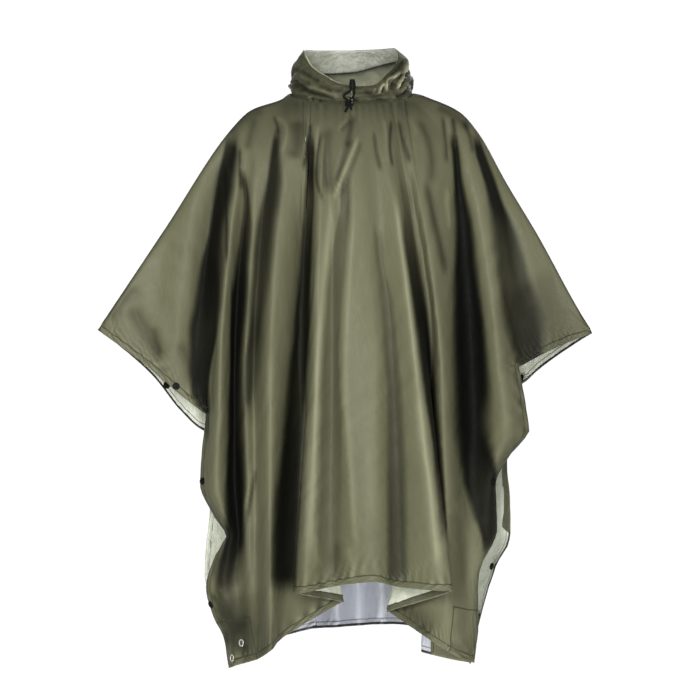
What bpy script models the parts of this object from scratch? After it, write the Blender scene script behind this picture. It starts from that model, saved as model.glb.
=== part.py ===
"""Rain poncho, worn with both arms held out, on nobody.

Two halves of body cloth meet along the shoulders and arms, hang open at the sides and carry a hood
that is worn down as a scrunched collar. Each cloth is a wall: an open surface worked out from the
tables below, thickened outwards. Tables are in millimetres, seen from the front: x to the viewer's
right, y away from the viewer, z up, with the origin at the middle of the neck's base. Their x and z
are as drawn in perspective from VIEW_DISTANCE in front, and true_place gives the place itself.
"""
import math

import bmesh
import bpy
from mathutils import Matrix, Vector
from mathutils.kdtree import KDTree

MM = 0.001
CLOTH_WALL = 1.1
PATCH_WALL = 1.0
SEAM_GAP = 0.3

VIEW_DISTANCE = 8000.0
VIEW_X = 4.0
VIEW_Z = -490.0

NECK_CENTRE_X = 8.0
NECK_CENTRE_Y = 3.0
NECK_HALF_WIDTH = 119.0
NECK_HALF_DEPTH = 95.0
NECK_SIDE_Z = 12.0
NECK_FRONT_Z = -8.0
NECK_BACK_Z = 16.0

# Where the two halves meet over the shoulders and arms: x, z. Seen from above it is straight from the
# neck to each wrist, so that both halves follow it alike.
SHOULDER_LINE = (
    (-490, -451), (-358, -253), (-229, -59), (-188, -20), (-131, 0), (-111, 12),
    (127, 12), (167, 0), (218, -24), (255, -65), (310, -163), (374, -270), (439, -390), (478, -457),
)
WRIST_Y = -32.0

# Sleeve hems of each half, from the wrist corner in: x, y, z.
FRONT_SLEEVE_LEFT = ((-490, -32, -451), (-382, -44, -531), (-316, -54, -588), (-278, -60, -615))
FRONT_SLEEVE_RIGHT = ((335, -58, -523), (415, -44, -482), (478, -32, -457))
BACK_SLEEVE_LEFT = ((-490, -32, -451), (-382, -6, -540), (-368, 4, -566), (-282, 52, -648))
BACK_SLEEVE_RIGHT = ((341, 52, -556), (388, 12, -517), (457, -24, -470), (478, -32, -457))

# Side edges below the sleeves: z, x, y.
FRONT_EDGE_LEFT = (
    (-615, -278, -60), (-721, -288, -55), (-755, -289, -62), (-799, -271, -47), (-840, -245, -27),
    (-853, -237, -22), (-866, -244, -25), (-902, -263, -44), (-955, -278, -62), (-1010, -264, -54),
    (-1054, -243, -44), (-1113, -233, -58),
)
FRONT_EDGE_RIGHT = (
    (-523, 335, -58), (-640, 354, -71), (-651, 355, -72), (-662, 347, -65), (-706, 310, -38),
    (-755, 289, -23), (-841, 292, -26), (-939, 252, -42), (-1023, 255, -48), (-1103, 247, -56),
)
BACK_EDGE_LEFT = (
    (-648, -282, 52), (-800, -270, 45), (-882, -278, 32), (-931, -280, 30), (-1010, -250, 36),
    (-1085, -222, 44),
)
BACK_EDGE_RIGHT = (
    (-556, 341, 52), (-640, 330, 44), (-706, 311, 24), (-784, 317, 8), (-840, 318, 20), (-864, 316, 30),
    (-906, 293, 36), (-992, 265, 42), (-1105, 239, 44),
)

# Folds that run down each half: name, x at the top, half-way and at the hem, y half-way and at the
# hem, z of the hem. Ridges are nearer the viewer on the front, and further away on the back.
FRONT_FOLDS = (
    ("side", -220, -266, -233, -66, -58, -1113),
    ("outer_ridge", -206, -252, -218, -116, -88, -1108),
    ("outer_valley", -194, -223, -204, -68, -100, -1104),
    ("small_ridge", -174, -201, -190, -102, -126, -1100),
    ("small_valley", -150, -184, -177, -86, -140, -1096),
    ("flap_ridge", -120, -152, -152, -150, -186, -1080),
    ("deep_valley", -86, -104, -126, -88, -112, -1052),
    ("flap_tip", -80, -97, -11, -83, -64, -984),
    ("flap_tip_turn", -72, -88, -9, -86, -77, -984),
    ("panel_turn", -64, -77, -106, -120, -152, -966),
    ("bright_ridge", -54, -62, -88, -166, -196, -966),
    ("panel_valley", -40, -31, -37, -148, -166, -955),
    ("thin_ridge", -8, -10, 20, -170, -196, -947),
    ("centre", 18, 47, 55, -172, -203, -945),
    ("centre_valley", 40, 82, 102, -153, -180, -955),
    ("broad_ridge", 62, 135, 180, -176, -213, -962),
    ("panel_turn_right", 75, 150, 204, -156, -190, -962),
    ("right_flap_tip_turn", 84, 158, 77, -112, -92, -1003),
    ("right_flap_tip", 92, 166, 79, -106, -79, -1003),
    ("right_flap_ridge", 112, 184, 198, -142, -136, -1082),
    ("right_deep_valley", 200, 241, 232, -66, -104, -1098),
    ("shoulder_ridge", 231, 296, 242, -104, -76, -1101),
    ("side_right", 255, 325, 247, -62, -56, -1103),
)
BACK_FOLDS = (
    ("side", -220, -262, -222, 60, 44, -1085),
    ("outer_ridge", -198, -232, -200, 98, 84, -1078),
    ("flap_ridge", -172, -190, -140, 100, 100, -1054),
    ("flap_tip", -152, -132, -62, 96, 104, -1034),
    ("flap_tip_turn", -146, -132, -64, 108, 120, -1034),
    ("panel_turn", -132, -182, -186, 126, 146, -1050),
    ("panel_ridge", -114, -170, -176, 152, 178, -1046),
    ("left_valley", -84, -108, -112, 118, 152, -1042),
    ("left_ridge", -54, -68, -68, 168, 214, -1036),
    ("middle_valley", -22, -24, -22, 118, 156, -1033),
    ("middle_ridge", 10, 18, 22, 172, 218, -1030),
    ("right_valley", 42, 58, 66, 116, 152, -1027),
    ("right_ridge", 76, 108, 120, 160, 206, -1030),
    ("pleat_inner", 96, 138, 178, 126, 166, -1046),
    ("pleat_back", 124, 186, 216, 146, 150, -1058),
    ("pleat_turn", 138, 192, 212, 128, 128, -1062),
    ("pleat_front_turn", 152, 160, 147, 106, 108, -1080),
    ("pleat_front", 162, 160, 145, 94, 94, -1082),
    ("corner_ridge", 192, 246, 206, 118, 80, -1097),
    ("curl", 228, 306, 240, 74, 58, -1103),
    ("side_right", 255, 330, 239, 56, 44, -1105),
)

# Columns between the shoulder line and a sleeve hem: x on the shoulder line, x on the hem, and how
# far the cloth sinks between them.
FRONT_WING_LEFT = ((-490, -490, 0), (-430, -440, 0), (-360, -386, 2), (-298, -342, -2), (-250, -312, 20))
FRONT_WING_RIGHT = ((296, 362, 4), (342, 392, 0), (398, 430, 2), (440, 456, 0), (478, 478, 0))
BACK_WING_LEFT = ((-490, -490, 0), (-425, -440, 0), (-345, -380, -6), (-275, -330, 4))
BACK_WING_RIGHT = ((300, 372, 4), (360, 405, -6), (425, 445, 0), (478, 478, 0))

# The cloth turns down from the neck and shoulders over FALL_LENGTH, to the chest's half depth, and
# SLEEVE_TURN_LENGTH on the arms.
FALL_LENGTH = 62.0
CHEST_HALF_DEPTH = 84.0
CHEST_SWELL = 46.0
CHEST_SWELL_REACH = 120.0
SLEEVE_TURN_LENGTH = 40.0
SLEEVE_SINK_SKEW = 0.7
EDGE_LEAN = 0.62
EDGE_WAVE_SHARES = (1.0, 0.5, 0.12)
TOP_FIT_ROWS = 0.35
ROW_EASE = 1.3
UPPER_ROWS = 10
LOWER_ROWS = 11
FRONT_PITCH = 34.0
BACK_PITCH = 26.0
PATCH_ROWS = 2
PATCH_WIDTH = 105.0
PATCH_GAP = 0.5

HOOD_COLUMNS = 26
HOOD_ROWS = (0.0, 0.12, 0.25, 0.38, 0.51, 0.64, 0.76, 0.88, 1.0)
TUNNEL_FIRST_ROW = 6
HOOD_BASE_INSET = 1.6
HOOD_BASE_LIFT = 3.6
THROAT_GAP = 2.0
BRIM_CENTRE_X = 6.0
BRIM_HALF_WIDTH = 92.0
BRIM_FRONT_DEPTH = 88.0
BRIM_BACK_DEPTH = 104.0
# Brim round the neck: degrees from the middle of the front, to the viewer's right above nought, and z.
BRIM_LINE = (
    (-180, 96), (-140, 96), (-90, 98), (-49, 61), (-34, 49), (-17, 35), (-4, 29), (9, 26), (29, 29),
    (50, 51), (73, 71), (90, 86), (115, 101), (140, 99), (180, 96),
)
# How the hood leaves its seam and comes to its brim: out and up from the seam, out and up to the
# handle below the brim.
HOOD_SIDE = (16.0, 18.0, 14.0, -36.0)
HOOD_FRONT = (17.0, 8.0, 17.0, -10.0)
HOOD_BEHIND = (88.0, 6.0, 104.0, -66.0)
POUCH_DROP = 92.0
POUCH_SKEW = 0.92
# How quickly round the neck the front, the back and the hanging pouch behind take over.
FRONT_POWER = 1.5
BEHIND_POWER = 1.4
POUCH_POWER = 2.6
SCRUNCH_DEPTH = 5.0
SCRUNCH_FOLDS = 2.3
SCRUNCH_FRONT_SHARE = 0.35
SCRUNCH_SWAY = 1.2
SCRUNCH_LEAN = 0.4
LEAN_PHASE = 0.6
GATHER_DEPTH = 2.2
GATHER_COUNT = 13
GATHER_SWAY = 2.0
# How far the hood stands out at its left and right sides: rise, out.
HOOD_FLANK_LEFT = (
    (0.0, 0), (0.1, -1), (0.22, -2), (0.32, -11), (0.42, -10), (0.52, -6), (0.65, 1), (0.75, 3),
    (0.85, 3), (1.0, 0),
)
HOOD_FLANK_RIGHT = (
    (0.0, 0), (0.1, -7), (0.22, -13), (0.4, -9), (0.5, -3), (0.6, -3.5), (0.68, -5), (0.75, 1),
    (0.84, 11), (0.92, 6.5), (1.0, 0),
)
FLANK_POWER = 3

STUD_RADIUS = 7.0
STUD_HEIGHT = 3.2
TRIM_GAP = 0.4
STUD_SIDES = 12
STUD_ROUNDING = 0.9
EYELET_INNER = 4.6
EYELET_OUTER = 7.6
EYELET_HEIGHT = 2.4
EYELET_SIDES = 14
EYELET_SHOULDER = 0.4
TRIM_REACH = 90.0

CORD_RADIUS = 2.0
CORD_POINTS = 17
# Routes of the two free ends of the drawstring, from the lock down: x, y, z.
CORD_LEFT_ROUTE = (
    (5.6, -105.6, 15.1), (5.4, -105.8, 12.6), (0.0, -107.2, 8.0), (-7.5, -107.8, 3.6),
    (-8.0, -107.2, -1.2), (-2.6, -106.2, -5.4), (-1.0, -106.0, -8.6), (-1.0, -106.0, -13.0),
    (-1.0, -106.2, -18.0), (-3.2, -107.2, -24.0), (-6.0, -109.0, -30.0),
)
CORD_RIGHT_ROUTE = (
    (11.4, -105.6, 15.1), (11.5, -105.8, 12.6), (12.0, -107.4, 6.0), (9.4, -107.4, -0.5),
    (5.0, -106.2, -5.2), (4.0, -106.0, -8.6), (4.0, -106.0, -13.0), (4.0, -106.2, -18.0),
    (6.6, -107.6, -25.0),
)
LOCK_CENTRE = (8.5, -105.6, 25.0)
LOCK_RADIUS = 6.2
LOCK_HEIGHT = 19.0
LOCK_SIDES = 16
LOCK_ROUNDING = 2.0
KNOT_CENTRE = (1.5, -106.0, -13.0)
KNOT_HALF_WIDTH = 8.2
KNOT_HALF_DEPTH = 5.2
KNOT_HOLE_HALF_WIDTH = 5.4
KNOT_HOLE_HALF_DEPTH = 2.6
KNOT_HEIGHT = 9.0
KNOT_SIDES = 20
KNOT_SQUARENESS = 0.7


def mix(start, end, share):
    return start + (end - start) * share


def bow(start, middle, end, share):
    """Smooth run through three values at shares 0, 0.5 and 1, without overshoot."""
    return read_table(((0.0, start), (0.5, middle), (1.0, end)), share)[0]


def true_place(point):
    """Place of a point that the tables give as drawn in perspective."""
    nearness = 1 + point.y / VIEW_DISTANCE
    return Vector((mix(VIEW_X, point.x, nearness), point.y, mix(VIEW_Z, point.z, nearness)))


def read_table(rows, key):
    """Other columns of a table at a value of its first column, without overshoot between rows."""
    rows = sorted(rows)
    key = min(max(key, rows[0][0]), rows[-1][0])
    index = 0
    while index < len(rows) - 2 and key > rows[index + 1][0]:
        index += 1
    low, high = rows[index], rows[index + 1]
    span = high[0] - low[0]
    share = (key - low[0]) / span
    values = []
    for column in range(1, len(low)):
        slopes = []
        for here in (index, index + 1):
            slopes.append(table_slope(rows, here, column))
        values.append(hermite(low[column], high[column], slopes[0] * span, slopes[1] * span, share))
    return values


def table_slope(rows, index, column):
    """Slope at a row: the harmonic mean of its neighbours', and none at a peak or dip."""
    steps = []
    for first in (index - 1, index):
        if 0 <= first < len(rows) - 1:
            run = rows[first + 1][0] - rows[first][0]
            steps.append((rows[first + 1][column] - rows[first][column]) / run)
    if len(steps) == 1:
        return steps[0]
    if steps[0] * steps[1] <= 0:
        return 0.0
    return 2 * steps[0] * steps[1] / (steps[0] + steps[1])


def hermite(start, end, start_slope, end_slope, share):
    square = share * share
    cube = square * share
    return (start * (2 * cube - 3 * square + 1) + end * (3 * square - 2 * cube)
            + start_slope * (cube - 2 * square + share) + end_slope * (cube - square))


def spline_point(points, position):
    """Centripetal Catmull-Rom curve through a row of points, at a fractional index."""
    last = len(points) - 1
    index = min(int(position), last - 1)
    share = position - index
    p1 = points[index]
    p2 = points[index + 1]
    p0 = points[index - 1] if index > 0 else p1 * 2 - p2
    p3 = points[index + 2] if index + 2 <= last else p2 * 2 - p1
    knots = [0.0]
    for a, b in ((p0, p1), (p1, p2), (p2, p3)):
        knots.append(knots[-1] + max((b - a).length, 1e-6) ** 0.5)
    k0, k1, k2, k3 = knots
    k = mix(k1, k2, share)
    a1 = p0 * ((k1 - k) / (k1 - k0)) + p1 * ((k - k0) / (k1 - k0))
    a2 = p1 * ((k2 - k) / (k2 - k1)) + p2 * ((k - k1) / (k2 - k1))
    a3 = p2 * ((k3 - k) / (k3 - k2)) + p3 * ((k - k2) / (k3 - k2))
    b1 = a1 * ((k2 - k) / (k2 - k0)) + a2 * ((k - k0) / (k2 - k0))
    b2 = a2 * ((k3 - k) / (k3 - k1)) + a3 * ((k - k1) / (k3 - k1))
    return b1 * ((k2 - k) / (k2 - k1)) + b2 * ((k - k1) / (k2 - k1))


class Panel:
    """One half of the body cloth, with side -1 for the front and 1 for the back."""

    def __init__(self, side, pitch, folds, wing_left, wing_right, sleeves, edges):
        self.side = side
        self.pitch = pitch
        self.folds = folds
        self.wing_left = wing_left
        self.wing_right = wing_right
        self.sleeve_left, self.sleeve_right = sleeves
        self.edge_left, self.edge_right = edges

    def top_point(self, x):
        """On the neck hole's edge, or on the shoulder line outside it."""
        across = (x - NECK_CENTRE_X) / NECK_HALF_WIDTH
        if abs(across) < 1:
            bulge = math.sqrt(1 - across * across)
            low = NECK_FRONT_Z if self.side < 0 else NECK_BACK_Z
            y = NECK_CENTRE_Y + self.side * max(NECK_HALF_DEPTH * bulge, SEAM_GAP / 2)
            return Vector((x, y, mix(NECK_SIDE_Z, low, bulge)))
        (z,) = read_table(SHOULDER_LINE, x)
        wrist_x = SHOULDER_LINE[0][0] if x < NECK_CENTRE_X else SHOULDER_LINE[-1][0]
        neck_x = NECK_CENTRE_X + math.copysign(NECK_HALF_WIDTH, x - NECK_CENTRE_X)
        y = mix(NECK_CENTRE_Y, WRIST_Y, (x - neck_x) / (wrist_x - neck_x))
        return Vector((x, y + self.side * SEAM_GAP / 2, z))

    def break_z(self, mid_x):
        """Height of the row that starts at one sleeve's inner end and ends at the other's."""
        left = self.edge_left[0][0]
        right = self.edge_right[0][0]
        first = self.folds[0][2]
        last = self.folds[-1][2]
        return mix(left, right, (mid_x - first) / (last - first))

    def edge_shift(self, fold_index, z):
        """How far the wave of the nearest side edge carries a fold sideways and in depth."""
        shift = Vector((0, 0, 0))
        for edge, near in ((self.edge_left, fold_index), (self.edge_right, len(self.folds) - 1 - fold_index)):
            if near < len(EDGE_WAVE_SHARES) and z < edge[0][0]:
                x, y = read_table(edge, z)
                (top_z, top_x, top_y), (low_z, low_x, low_y) = edge[0], edge[-1]
                down = (z - top_z) / (low_z - top_z)
                wave = Vector((x - mix(top_x, low_x, down), y - mix(top_y, low_y, down), 0))
                shift += wave * EDGE_WAVE_SHARES[near]
        return shift

    def fold_point(self, fold_index, row):
        """Point of a fold at row 0, the top, to 1, the sleeves' inner ends, to 2, the hem."""
        _, top_x, mid_x, hem_x, mid_y, hem_y, hem_z = self.folds[fold_index]
        top = self.top_point(top_x)
        level = self.break_z(mid_x)
        outermost = fold_index in (0, len(self.folds) - 1)
        edge = self.edge_left if fold_index == 0 else self.edge_right
        if outermost and row > 1:
            z = mix(edge[0][0], edge[-1][0], row - 1)
            x, y = read_table(edge, z)
            return Vector((x, y, z))
        if row <= 1:
            z = mix(top.z, level, row ** ROW_EASE)
        else:
            z = mix(level, hem_z, row - 1)
        drop = top.z - z
        if outermost:
            share = drop / (top.z - level)
            x = bow(top_x, mix(top_x, edge[0][1], EDGE_LEAN), edge[0][1], share)
            hang = mix(self.side * CHEST_HALF_DEPTH, edge[0][2], share)
        else:
            share = drop / (top.z - hem_z)
            x = bow(top_x, mid_x, hem_x, share)
            swell = CHEST_SWELL * math.exp(-(top_x / CHEST_SWELL_REACH) ** 2)
            hang = bow(self.side * (CHEST_HALF_DEPTH + swell), mid_y, hem_y, share)
        y = top.y + (hang - top.y) * (1 - math.exp(-drop / FALL_LENGTH))
        point = Vector((x, y, z))
        if not outermost and row > 1:
            point += self.edge_shift(fold_index, z)
        return point

    def wing_point(self, column, row):
        ridge_x, hem_x, sink = column
        top = self.top_point(ridge_x)
        sleeve = self.sleeve_left if ridge_x < 0 else self.sleeve_right
        y, z = read_table(sleeve, hem_x)
        bottom = Vector((hem_x, y, z))
        if (bottom - top).length < 1.0:
            return top
        share = row ** ROW_EASE
        length = (bottom - top).length
        point = top.lerp(bottom, share)
        turned = 1 - math.exp(-length * share / SLEEVE_TURN_LENGTH)
        turned /= 1 - math.exp(-length / SLEEVE_TURN_LENGTH)
        dip = sink * math.sin(math.pi * share ** SLEEVE_SINK_SKEW)
        point.y = mix(top.y, bottom.y, turned) - self.side * dip
        return point

    def station_points(self, row):
        """Points of all the wing columns and folds along one row; wings end at row 1."""
        points = []
        if row <= 1:
            points += [self.wing_point(column, row) for column in self.wing_left]
        points += [self.fold_point(index, row) for index in range(len(self.folds))]
        if row <= 1:
            points += [self.wing_point(column, row) for column in self.wing_right]
        return points

    def columns(self):
        """Positions of the grid's columns along the stations, closer where more cloth lies."""
        widest = self.station_points(1.0)
        hem = [None] * len(self.wing_left) + self.station_points(2.0) + [None] * len(self.wing_right)
        positions = [0.0]
        for index in range(len(widest) - 1):
            length = (widest[index + 1] - widest[index]).length
            if hem[index] is not None and hem[index + 1] is not None:
                length = max(length, (hem[index + 1] - hem[index]).length)
            steps = max(2, round(length / self.pitch))
            positions += [index + (step + 1) / steps for step in range(steps)]
        return positions

    def grid(self):
        """Vertices by column and row. Body columns have all rows and wing columns the upper ones."""
        rows = [index / UPPER_ROWS for index in range(UPPER_ROWS + 1)]
        rows += [1 + (index + 1) / LOWER_ROWS for index in range(LOWER_ROWS)]
        first = len(self.wing_left)
        last = first + len(self.folds) - 1
        points = {}
        positions = self.columns()
        tops = self.station_points(0.0)
        for row_index, row in enumerate(rows):
            stations = self.station_points(row)
            near_top = max(0.0, 1 - row / TOP_FIT_ROWS) ** 2
            for column_index, position in enumerate(positions):
                if row <= 1:
                    index = min(int(position), len(tops) - 2)
                    top_x = mix(tops[index].x, tops[index + 1].x, position - index)
                    stray = self.top_point(top_x) - spline_point(tops, position)
                    point = spline_point(stations, position) + stray * near_top
                elif first <= position <= last:
                    point = spline_point(stations, position - first)
                else:
                    continue
                points[column_index, row_index] = true_place(point)
        return points


FRONT = Panel(-1, FRONT_PITCH, FRONT_FOLDS, FRONT_WING_LEFT, FRONT_WING_RIGHT,
              (FRONT_SLEEVE_LEFT, FRONT_SLEEVE_RIGHT), (FRONT_EDGE_LEFT, FRONT_EDGE_RIGHT))
BACK = Panel(1, BACK_PITCH, BACK_FOLDS, BACK_WING_LEFT, BACK_WING_RIGHT,
             (BACK_SLEEVE_LEFT, BACK_SLEEVE_RIGHT), (BACK_EDGE_LEFT, BACK_EDGE_RIGHT))


def clear_scene():
    for thing in list(bpy.data.objects):
        bpy.data.objects.remove(thing, do_unlink=True)


def new_collection(name):
    collection = bpy.data.collections.new(name)
    bpy.context.scene.collection.children.link(collection)
    return collection


def make_material(name, colour, roughness, metallic=0.0):
    material = bpy.data.materials.new(name)
    material.use_nodes = True
    shader = material.node_tree.nodes["Principled BSDF"]
    shader.inputs["Base Color"].default_value = (*colour, 1.0)
    shader.inputs["Roughness"].default_value = roughness
    shader.inputs["Metallic"].default_value = metallic
    return material


def add_object(name, mesh, material, collection):
    thing = bpy.data.objects.new(name, mesh)
    collection.objects.link(thing)
    mesh.materials.clear()
    mesh.materials.append(material)
    return thing


def thicken(thing, wall, outwards=True):
    modifier = thing.modifiers.new("wall", "SOLIDIFY")
    modifier.thickness = wall * MM
    modifier.offset = 1.0 if outwards else -1.0
    modifier.use_rim = True
    return modifier


def surface_mesh(name, points, faces):
    """Mesh of an open surface from keyed points in millimetres; points that coincide are one."""
    mesh = bpy.data.meshes.new(name)
    shell = bmesh.new()
    made = {}
    for key, point in points.items():
        made[key] = shell.verts.new(point * MM)
    for face in faces:
        if min((points[face[i]] - points[face[i - 1]]).length for i in range(3)) > 0.01:
            shell.faces.new([made[key] for key in face])
    bmesh.ops.remove_doubles(shell, verts=shell.verts, dist=0.00001)
    shell.normal_update()
    shell.to_mesh(mesh)
    shell.free()
    mesh.shade_smooth()
    return mesh


def grid_faces(points, flip):
    """Two triangles for each cell of a keyed grid whose four corners exist, parted the short way."""
    faces = []
    for column, row in points:
        a, b, c, d = (column, row), (column, row + 1), (column + 1, row + 1), (column + 1, row)
        if b not in points or c not in points or d not in points:
            continue
        if (points[a] - points[c]).length <= (points[b] - points[d]).length:
            pair = ((a, b, c), (a, c, d))
        else:
            pair = ((a, b, d), (b, c, d))
        faces += [face[::-1] if flip else face for face in pair]
    return faces


def make_panel(name, panel, material, collection):
    points = panel.grid()
    mesh = surface_mesh(name, points, grid_faces(points, panel.side > 0))
    thing = add_object(name, mesh, material, collection)
    thicken(thing, CLOTH_WALL)
    return points


def edge_place(points, side, x, z):
    """Middle of the panel's triangle nearest a place seen from the front, and its outward direction."""
    faces = grid_faces(points, False)
    tree = KDTree(len(faces))
    for index, face in enumerate(faces):
        middle = sum((points[key] for key in face), Vector()) / 3
        tree.insert((middle.x, 0.0, middle.z), index)
    tree.balance()
    _, index, _ = tree.find((x, 0.0, z))
    a, b, c = (points[key] for key in faces[index])
    normal = (b - a).cross(c - a).normalized()
    if normal.y * side < 0:
        normal.negate()
    return (a + b + c) / 3, normal


def height_to_clear(points, place, normal, radius):
    """How far a disc over a place has to stand out, so that it clears the cloth round it."""
    height = 0.0
    samples = 8
    for face in grid_faces(points, False):
        a, b, c = (points[key] for key in face)
        if (a - place).length > TRIM_REACH:
            continue
        for i in range(samples + 1):
            for j in range(samples + 1 - i):
                away = a + (b - a) * (i / samples) + (c - a) * (j / samples) - place
                rise = away.dot(normal)
                if (away - normal * rise).length < radius + CLOTH_WALL and abs(rise) < 3 * radius:
                    height = max(height, rise)
    return height


def brim_height(angle):
    """Height of the brim: low at the front, where the string is drawn, and high behind."""
    turn = math.degrees(angle + math.pi / 2)
    if turn > 180:
        turn -= 360
    return read_table(BRIM_LINE, turn)[0]


def flank_out(cosine, rise):
    """How far the hood stands out at its sides, where the scrunched cloth stacks up."""
    table = HOOD_FLANK_LEFT if cosine < 0 else HOOD_FLANK_RIGHT
    return read_table(table, rise)[0]


def hood_point(angle, rise):
    """Inner face of the hood at an angle round the neck, from its seam at 0 to its brim at 1."""
    cosine = math.cos(angle)
    sine = math.sin(angle)
    behind = max(0.0, sine) ** BEHIND_POWER
    hanging = max(0.0, sine) ** POUCH_POWER
    front = max(0.0, -sine) ** FRONT_POWER
    low_z = mix(NECK_SIDE_Z, NECK_BACK_Z if sine > 0 else NECK_FRONT_Z, abs(sine))
    base = Vector((NECK_CENTRE_X + (NECK_HALF_WIDTH - HOOD_BASE_INSET) * cosine,
                   NECK_CENTRE_Y + (NECK_HALF_DEPTH - HOOD_BASE_INSET) * sine,
                   low_z + HOOD_BASE_LIFT))
    brim_depth = BRIM_BACK_DEPTH if sine > 0 else BRIM_FRONT_DEPTH
    brim = Vector((BRIM_CENTRE_X + BRIM_HALF_WIDTH * cosine, NECK_CENTRE_Y + brim_depth * sine,
                   brim_height(angle)))
    out = Vector((cosine, sine, 0.0))
    reach = []
    for side_value, front_value, behind_value in zip(HOOD_SIDE, HOOD_FRONT, HOOD_BEHIND):
        reach.append(side_value * (1 - behind - front) + front_value * front + behind_value * behind)
    low_handle = base + out * reach[0] + Vector((0, 0, reach[1]))
    high_handle = brim + out * reach[2] + Vector((0, 0, reach[3]))
    left = 1 - rise
    point = (base * left ** 3 + low_handle * (3 * left * left * rise)
             + high_handle * (3 * left * rise * rise) + brim * rise ** 3)
    point.z -= POUCH_DROP * hanging * math.sin(math.pi * rise ** POUCH_SKEW) ** 2
    from_front = angle + math.pi / 2
    lopsided = cosine * cosine * math.sin(2 * angle + LEAN_PHASE)
    turns = SCRUNCH_FOLDS + SCRUNCH_LEAN * lopsided
    scrunch = math.sin(2 * math.pi * turns * rise + SCRUNCH_SWAY * math.cos(3 * from_front))
    gather = math.cos(GATHER_COUNT * from_front + GATHER_SWAY * lopsided * cosine)
    hold = math.sin(math.pi * rise)
    bulk = scrunch * SCRUNCH_DEPTH * mix(1.0, SCRUNCH_FRONT_SHARE, front) + gather * GATHER_DEPTH
    flank = abs(cosine) ** FLANK_POWER
    return true_place(point + out * mix(bulk * hold, flank_out(cosine, rise), flank))


def hood_grid(first_angle, last_angle):
    points = {}
    for column in range(HOOD_COLUMNS + 1):
        angle = mix(first_angle, last_angle, column / HOOD_COLUMNS)
        for row, rise in enumerate(HOOD_ROWS):
            points[column, row] = hood_point(angle, rise)
    return points


def make_hood(material, collection):
    """Left half from the middle of the front round to the middle of the back, then the right half."""
    throat = THROAT_GAP / 2 / BRIM_FRONT_DEPTH
    seam = SEAM_GAP / 2 / BRIM_FRONT_DEPTH
    left = hood_grid(-math.pi / 2 - throat, -math.pi * 3 / 2 + seam)
    right = hood_grid(-math.pi / 2 + throat, math.pi / 2 - seam)
    for name, points, flip in (("hood_left", left, False), ("hood_right", right, True)):
        mesh = surface_mesh(name, points, grid_faces(points, flip))
        thing = add_object(name, mesh, material, collection)
        thicken(thing, CLOTH_WALL)
    return left, right


def moved_in(mesh, distance):
    """Moves each point of an open surface against its normal, by a distance in millimetres."""
    shell = bmesh.new()
    shell.from_mesh(mesh)
    shell.normal_update()
    places = [(vert, vert.co - vert.normal * distance * MM) for vert in shell.verts]
    for vert, place in places:
        vert.co = place
    shell.to_mesh(mesh)
    shell.free()


def make_tunnel(left, right, material, collection):
    """Turned-in strip round the brim, on the hood's inner face, open where the string comes out."""
    ring = {}
    for row in range(TUNNEL_FIRST_ROW, len(HOOD_ROWS)):
        for column in range(1, HOOD_COLUMNS):
            ring[column, row] = left[column, row]
            ring[2 * HOOD_COLUMNS - column, row] = right[column, row]
        ring[HOOD_COLUMNS, row] = (left[HOOD_COLUMNS, row] + right[HOOD_COLUMNS, row]) / 2
    mesh = surface_mesh("brim_tunnel", ring, grid_faces(ring, False))
    moved_in(mesh, PATCH_GAP)
    thing = add_object("brim_tunnel", mesh, material, collection)
    thicken(thing, PATCH_WALL, outwards=False)


def make_patch(name, points, side, from_left, material, collection):
    """Square of cloth on the inner face of a corner, over the panel's own points."""
    last_row = UPPER_ROWS + LOWER_ROWS
    body = sorted(column for column, row in points if row == last_row)
    if not from_left:
        body.reverse()
    length = 0.0
    columns = [body[0]]
    for column in body[1:]:
        length += (points[column, last_row] - points[columns[-1], last_row]).length
        if length > PATCH_WIDTH:
            break
        columns.append(column)
    chosen = {}
    for (column, row), point in points.items():
        if column in columns and row >= last_row - PATCH_ROWS:
            chosen[column, row] = point
    mesh = surface_mesh(name, chosen, grid_faces(chosen, side > 0))
    moved_in(mesh, PATCH_GAP)
    thing = add_object(name, mesh, material, collection)
    thicken(thing, PATCH_WALL, outwards=False)


def facing(normal):
    """Turn that sets a piece's own z along a direction."""
    return Vector((0, 0, 1)).rotation_difference(normal).to_matrix().to_4x4()


def make_stud(name, points, place, normal, face, material, collection):
    """Disc that stands on the outer or the inner face of the cloth."""
    shell = bmesh.new()
    bmesh.ops.create_cone(shell, cap_ends=True, segments=STUD_SIDES, radius1=STUD_RADIUS * MM,
                          radius2=STUD_RADIUS * MM, depth=STUD_HEIGHT * MM)
    mesh = bpy.data.meshes.new(name)
    shell.to_mesh(mesh)
    shell.free()
    thing = add_object(name, mesh, material, collection)
    away = normal * face
    lift = height_to_clear(points, place, away, STUD_RADIUS) + TRIM_GAP
    if face == OUTER:
        lift += CLOTH_WALL
    centre = place + away * (lift + STUD_HEIGHT / 2)
    thing.matrix_world = Matrix.Translation(centre * MM) @ facing(away)
    rounding = thing.modifiers.new("rounding", "BEVEL")
    rounding.width = STUD_ROUNDING * MM
    rounding.segments = 1
    rounding.limit_method = "ANGLE"


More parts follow.
